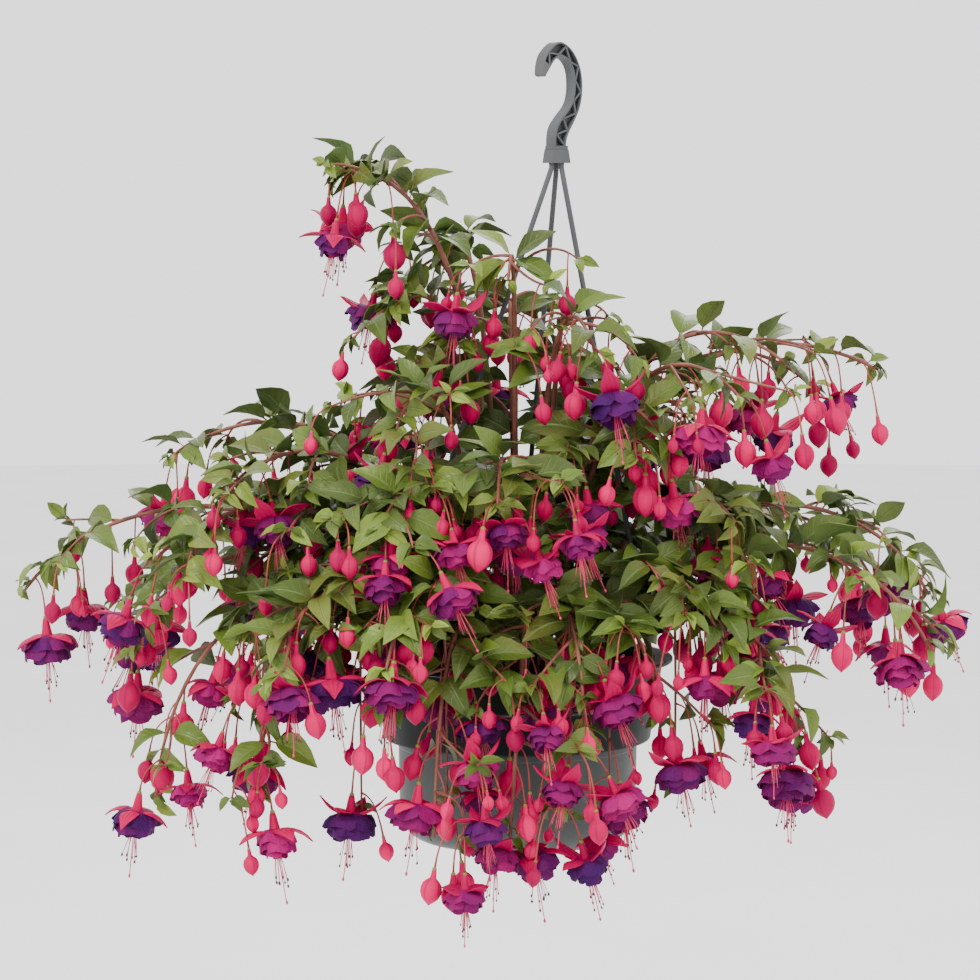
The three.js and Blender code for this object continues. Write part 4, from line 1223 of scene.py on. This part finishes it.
# ---------- pot, reservoir and soil ----------


ROUND_STEPS = 144


def turned_body(profile, steps):
    """A closed body from a profile of (radius, height below the rim), spun round the pot's axis."""
    bm = bmesh.new()
    verts = [bm.verts.new((POT_X + r, 0, RIM_Z + z)) for r, z in profile]
    edges = [bm.edges.new(pair) for pair in zip(verts, verts[1:])]
    bmesh.ops.spin(
        bm, geom=verts + edges, cent=(POT_X, 0, 0), axis=UP, angle=math.tau, steps=steps, use_merge=True)
    bmesh.ops.remove_doubles(bm, verts=bm.verts, dist=0.001)
    bmesh.ops.recalc_face_normals(bm, faces=bm.faces)
    for face in bm.faces:
        face.smooth = True
    return bm


def round_edges(piece, width, segments=3, angle=28):
    bevel = piece.modifiers.new("edges", "BEVEL")
    bevel.width, bevel.segments = width * MM, segments
    bevel.limit_method, bevel.angle_limit = "ANGLE", rad(angle)
    bevel.harden_normals = True


def pot_piece():
    share = (POT["line_depth"] - POT["rim_depth"]) / (POT["ledge_depth"] - POT["rim_depth"])
    line_r = POT["wall_top_r"] + (POT["ledge_r"] - POT["wall_top_r"]) * share
    line_out, half_line = line_r + POT["line_proud"], 0.6
    wall, ledge, rim, line, foot = (
        POT["wall"], -POT["ledge_depth"], -POT["rim_depth"], -POT["line_depth"], -POT["depth"])
    corner, rim_corner, lip = 1.2, 0.6, 0.8
    profile = [
        (0, foot), (POT["foot_r"], foot), (POT["lower_foot_r"], -POT["chamfer_depth"]),
        (POT["lower_top_r"], ledge), (POT["ledge_r"] - corner, ledge), (POT["ledge_r"], ledge + corner),
        (line_r - 0.1, line - POT["line_height"]), (line_out, line - half_line),
        (line_out, line + half_line), (line_r + 0.3, line + POT["line_height"]),
        (POT["wall_top_r"], rim), (POT["rim_r"] - rim_corner, rim),
        (POT["rim_r"], rim + rim_corner), (POT["rim_r"], -lip), (POT["rim_r"] - lip, 0),
        (POT["rim_inner_r"] + lip, 0), (POT["rim_inner_r"], -lip), (POT["rim_inner_r"] - 0.4, -6),
        (POT["ledge_r"] - wall, ledge + wall), (POT["lower_top_r"] - wall, ledge + wall),
        (POT["lower_foot_r"] - wall, -POT["chamfer_depth"] + 1), (POT["foot_r"] - wall, foot + wall),
        (0, foot + wall),
    ]
    piece = finish_piece("pot_shell", turned_body(profile, ROUND_STEPS), "pot", ["pot"])
    round_edges(piece, 0.5)


def reservoir_piece():
    """The tray, with a rounded corner at its foot, a ring to stand on and a thin band round its top."""
    top_r, wall, foot = RESERVOIR["top_r"], RESERVOIR["wall"], -RESERVOIR["depth"]
    top, recess = -POT["ledge_depth"] - GAP, 2
    middle = (top_r - RESERVOIR["corner_r"] - 1.5, foot + RESERVOIR["corner_r"])

    def arc(radius):
        turns = [rad(88 * k / 9) for k in range(10)]
        return [(middle[0] + radius * math.sin(t), middle[1] - radius * math.cos(t)) for t in turns]

    profile = [
        (0, foot + recess), (58, foot + recess), (60, foot), *arc(RESERVOIR["corner_r"]),
        (top_r - 0.5, top - 6), (top_r, top - 5.4), (top_r + 0.3, top), (top_r - wall, top),
        *reversed(arc(RESERVOIR["corner_r"] - wall)), (0, foot + recess + wall),
    ]
    piece = finish_piece("reservoir_shell", turned_body(profile, ROUND_STEPS), "reservoir", ["reservoir"])
    round_edges(piece, 0.4)


SOIL = {"edge": 3, "rings": 22, "half": 0.4, "rise": 1.1, "rough": 2.2, "lumps": 0.05, "crumbs": 520}


def soil_surface():
    """An uneven disc over the top of the soil."""
    radius = POT["rim_inner_r"] - SOIL["edge"]
    top, bottom = -SOIL_DEPTH + SOIL["half"], -SOIL_DEPTH - SOIL["half"]
    profile = [(radius * k / SOIL["rings"], top) for k in range(SOIL["rings"] + 1)]
    bm = turned_body(profile + [(radius, bottom), (0, bottom)], 90)
    for vert in bm.verts:
        if vert.co.z > RIM_Z - SOIL_DEPTH:
            vert.co.z += SOIL["rise"] + SOIL["rough"] * noise.fractal(vert.co * SOIL["lumps"], 1.0, 2.2, 4)
    finish_piece("soil_surface", bm, "soil")


def soil_crumbs():
    """Crumbs of the mix, scattered over it evenly."""
    radius = POT["rim_inner_r"] - SOIL["edge"]
    crumbs = bmesh.new()
    crumb = bpy.data.meshes.new("crumb")
    bm = bmesh.new()
    bmesh.ops.create_icosphere(bm, subdivisions=1, radius=1)
    bm.to_mesh(crumb)
    bm.free()
    for _ in range(SOIL["crumbs"]):
        turn, reach, size = draw(0, 360), radius * math.sqrt(draw(0, 0.96)), draw(0.7, 2.9)
        x, y, z = polar(turn, reach, -SOIL_DEPTH + 1.2 + draw(-0.4, 1.0))
        squash = Matrix.Diagonal((size * draw(0.7, 1.5), size, size * draw(0.45, 0.9), 1))
        copy = crumb.copy()
        copy.transform(Matrix.Translation((x, y, z)) @ Matrix.Rotation(rad(draw(0, 360)), 4, "Z") @ squash)
        crumbs.from_mesh(copy)
        bpy.data.meshes.remove(copy)
    finish_piece("soil_crumbs", crumbs, "soil")


def finish_soil_node():
    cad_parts["soil"].data.materials.clear()
    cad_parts["soil"].data.materials.append(FINISHES["soil"].material)


# ---------- hook and strands ----------

# The band of the hook between its inner and outer edge. Along it, the channel with its pockets runs from
# the share "plain" to the share "end". The block has a collar, and its lower part flares.
HOOK = {
    "depth": 14, "turn": 30, "pockets": 13, "steps": 44, "channel": 5.6, "border": 0.14, "plain": 0.1,
    "end": 0.97, "rib": 1.5, "collar": 3, "collar_half": 6.8, "block_half": 7.2, "flare": 1.2,
}
HOOK_INNER = [
    (-14.6, -16.2), (-10.2, -9), (-5.2, -2.4), (0, 0), (6.4, -2.6), (11.2, -9.6), (12.8, -19),
    (12.4, -29.5), (9.6, -38.5), (2.6, -47), (-3.4, -55), (-5.6, -63), (-5.8, BLOCK["top"] - 1),
]
HOOK_OUTER = [
    (-16.6, -14.6), (-15.8, -5), (-11.6, 4), (-1.5, 11.8), (9.2, 6.6), (16.6, -4.6), (19.8, -17),
    (19.9, -30.5), (17.4, -41.5), (13, -51), (8.4, -59), (5.6, -66), (4.8, BLOCK["top"] - 1),
]


def on_curve(points, share):
    """A point on a smooth curve through the points."""
    place = min(share * (len(points) - 1), len(points) - 1 - 1e-9)
    i = int(place)
    t = place - i
    a, b, c, d = (Vector(points[min(max(i + k, 0), len(points) - 1)]) for k in (-1, 0, 1, 2))
    squared, cubed = 2 * a - 5 * b + 4 * c - d, 3 * b - a - 3 * c + d
    return 0.5 * (2 * b + (c - a) * t + squared * t ** 2 + cubed * t ** 3)


def channel_shares(count):
    """Even places along the band, from one end of its channel to the other."""
    return [HOOK["plain"] + (HOOK["end"] - HOOK["plain"]) * k / count for k in range(count + 1)]


def hook_rails(samples):
    """Four lines along the band: its outer edge, the two sides of its channel, its inner edge."""
    rails = []
    for across in (0, HOOK["border"], 1 - HOOK["border"], 1):
        rails.append([on_curve(HOOK_OUTER, t).lerp(on_curve(HOOK_INNER, t), across) for t in samples])
    return rails


def hook_band():
    """The band of the hook: one half is drawn out of a flat strip, sunk along its channel, and mirrored."""
    samples = [0, 0.03, 0.06] + channel_shares(HOOK["steps"]) + [1]
    bm = bmesh.new()
    rows = [[bm.verts.new((x, 0, z)) for x, z in rail] for rail in hook_rails(samples)]
    flat = []
    for upper, lower in zip(rows, rows[1:]):
        for k in range(len(samples) - 1):
            flat.append(bm.faces.new((upper[k], upper[k + 1], lower[k + 1], lower[k])))
    bmesh.ops.recalc_face_normals(bm, faces=flat)
    drawn = bmesh.ops.extrude_face_region(bm, geom=flat)["geom"]
    front = {item for item in drawn if isinstance(item, bmesh.types.BMFace)}
    moved = {vert for face in front for vert in face.verts}
    bmesh.ops.translate(bm, vec=(0, -HOOK["depth"] / 2, 0), verts=list(moved))
    inside = [face for face in bm.faces if face not in front and all(abs(v.co.y) < 1e-6 for v in face.verts)]
    bmesh.ops.delete(bm, geom=inside, context="FACES_ONLY")
    bmesh.ops.recalc_face_normals(bm, faces=bm.faces)
    if next(iter(front)).normal.y > 0:
        bmesh.ops.reverse_faces(bm, faces=bm.faces)
    _, upper, lower, _ = hook_rails(channel_shares(HOOK["steps"]))
    middle = [(a + b) / 2 for a, b in zip(upper, lower)]

    def in_channel(face):
        centre = face.calc_center_median()
        return min((Vector((centre.x, centre.z)) - spot).length for spot in middle) < 1.6

    channel = [face for face in front if in_channel(face)]
    bmesh.ops.inset_region(bm, faces=channel, thickness=0.3, depth=-HOOK["channel"])
    bmesh.ops.mirror(bm, geom=bm.verts[:] + bm.edges[:] + bm.faces[:], merge_dist=0.001, axis="Y")
    bmesh.ops.recalc_face_normals(bm, faces=bm.faces)
    return bm


def hook_ribs(bm):
    """The zigzag of thin ribs that parts the channel into three-sided pockets."""
    _, upper, lower, _ = hook_rails(channel_shares(HOOK["pockets"]))
    for k in range(HOOK["pockets"]):
        start, end = (upper[k], lower[k + 1]) if k % 2 else (lower[k], upper[k + 1])
        run = end - start
        middle = (start + end) / 2
        verts = bmesh.ops.create_cube(bm, size=1)["verts"]
        bmesh.ops.scale(bm, vec=(run.length + 1.2, HOOK["depth"] - 0.5, HOOK["rib"]), verts=verts)
        turn = Matrix.Rotation(-math.atan2(run.y, run.x), 3, "Y")
        bmesh.ops.rotate(bm, matrix=turn, verts=verts)
        bmesh.ops.translate(bm, vec=(middle.x, 0, middle.y), verts=verts)


def hook_block(bm):
    """The flared block at the hook's foot, with a collar above it."""
    step = BLOCK["top"] - HOOK["collar"]
    for top, bottom, half, flare in (
        (BLOCK["top"], step, HOOK["collar_half"], 0),
        (step, BLOCK["bottom"], HOOK["block_half"], HOOK["flare"]),
    ):
        for vert in bmesh.ops.create_cube(bm, size=2)["verts"]:
            reach = half + (flare if vert.co.z < 0 else 0)
            vert.co = (vert.co.x * reach, vert.co.y * reach, top if vert.co.z > 0 else bottom)


def hook_piece():
    bm = hook_band()
    hook_ribs(bm)
    hook_block(bm)
    bmesh.ops.rotate(bm, matrix=Matrix.Rotation(rad(HOOK["turn"]), 3, "Z"), verts=bm.verts)
    for face in bm.faces:
        face.smooth = True
    piece = finish_piece("hook_moulding", bm, "hanger", ["hanger_hook"])
    round_edges(piece, 0.45, 2, 32)


def strand_piece(name, turn):
    """A strand, slimmer between its ends, with a collar on the rim and a knob under it."""
    corners = strand_path(turn)
    corners[0] = (corners[0][0], corners[0][1], BLOCK["bottom"] + 2)
    points = []
    for start, end in zip(corners, corners[1:]):
        points += [mix(start, end, k) for k in (0.06, 0.35, 0.65, 0.94)]
    r, knob_r, sides = STRAND["r"], STRAND["knob_r"], 14
    bm = bmesh.new()
    add_rod(bm, points, [r - 0.25 if 1 < k < len(points) - 4 else r for k in range(len(points))], sides, 0.5)
    x, y, _ = corners[-1]
    top = RIM_Z - POT["rim_depth"] - 0.2
    knob = [(top, knob_r - 0.6), (top - 1.2, knob_r), (top - STRAND["knob_length"], r)]
    collar = [(RIM_Z + 3.2, r), (RIM_Z + 2.2, r + 1.1), (RIM_Z + 0.1, r + 1.3)]
    for rings in (knob, collar):
        add_rod(bm, [(x, y, z) for z, _ in rings], [radius for _, radius in rings], sides, 0.5)
    finish_piece(f"strand_{name}", bm, "hanger", [f"hanger_strand_{name}"])


pot_piece()
reservoir_piece()
soil_surface()
soil_crumbs()
finish_soil_node()
hook_piece()
for name, turn in STRANDS.items():
    strand_piece(name, turn)

# ---------- floor, light and camera ----------

# These are in metres. The height of the view is in degrees above the level, and its sensor in millimetres.
# Each lamp has its place, its size and its watts, and faces the place that is lit.
FLOOR = {"z": -1.05, "r": 9}
SKY = 1.9
LAMPS = {
    "key": ((-1.3, -1.9, 1.7), 1.3, 74), "fill": ((1.9, -1.4, 0.7), 1.5, 16),
    "back": ((0.4, 2.2, 1.3), 1.5, 30),
}
LIT = (-0.03, 0, -0.38)
VIEW = {"middle": (-0.0535, 0, -0.349), "height": 5, "distance": 3.2, "width": 0.794, "sensor": 36}


def floor_piece():
    bm = bmesh.new()
    bmesh.ops.create_circle(bm, cap_ends=True, segments=64, radius=FLOOR["r"])
    bmesh.ops.translate(bm, vec=(0, 0, FLOOR["z"]), verts=bm.verts)
    mesh = bpy.data.meshes.new("floor")
    bm.to_mesh(mesh)
    bm.free()
    piece = bpy.data.objects.new("floor", mesh)
    bpy.context.scene.collection.objects.link(piece)
    pale = Finish("floor_pale", Roughness=0.9)
    pale.set("Base Color", pale.ramp(pale.noise(3), [(0.3, (0.86, 0.86, 0.86)), (0.7, (0.9, 0.9, 0.9))]))
    mesh.materials.append(pale.material)


def add_lamp(name, place, size, power):
    light = bpy.data.lights.new(name, "AREA")
    light.size, light.energy = size, power
    lamp = bpy.data.objects.new(name, light)
    lamp.location = place
    lamp.rotation_euler = (Vector(LIT) - Vector(place)).to_track_quat("-Z", "Y").to_euler()
    bpy.context.scene.collection.objects.link(lamp)


def set_sky():
    world = bpy.data.worlds.new("pale_sky")
    world.use_nodes = True
    background = world.node_tree.nodes["Background"]
    background.inputs["Color"].default_value = (1, 1, 1, 1)
    background.inputs["Strength"].default_value = SKY
    bpy.context.scene.world = world


def set_camera():
    data = bpy.data.cameras.new("camera")
    data.sensor_width = VIEW["sensor"]
    data.lens = VIEW["sensor"] * VIEW["distance"] / VIEW["width"]
    camera = bpy.data.objects.new("camera", data)
    away = Vector((0, -math.cos(rad(VIEW["height"])), math.sin(rad(VIEW["height"]))))
    camera.location = Vector(VIEW["middle"]) + VIEW["distance"] * away
    camera.rotation_euler = (-away).to_track_quat("-Z", "Y").to_euler()
    bpy.context.scene.collection.objects.link(camera)
    bpy.context.scene.camera = camera


floor_piece()
set_sky()
for name, row in LAMPS.items():
    add_lamp(name, *row)
set_camera()
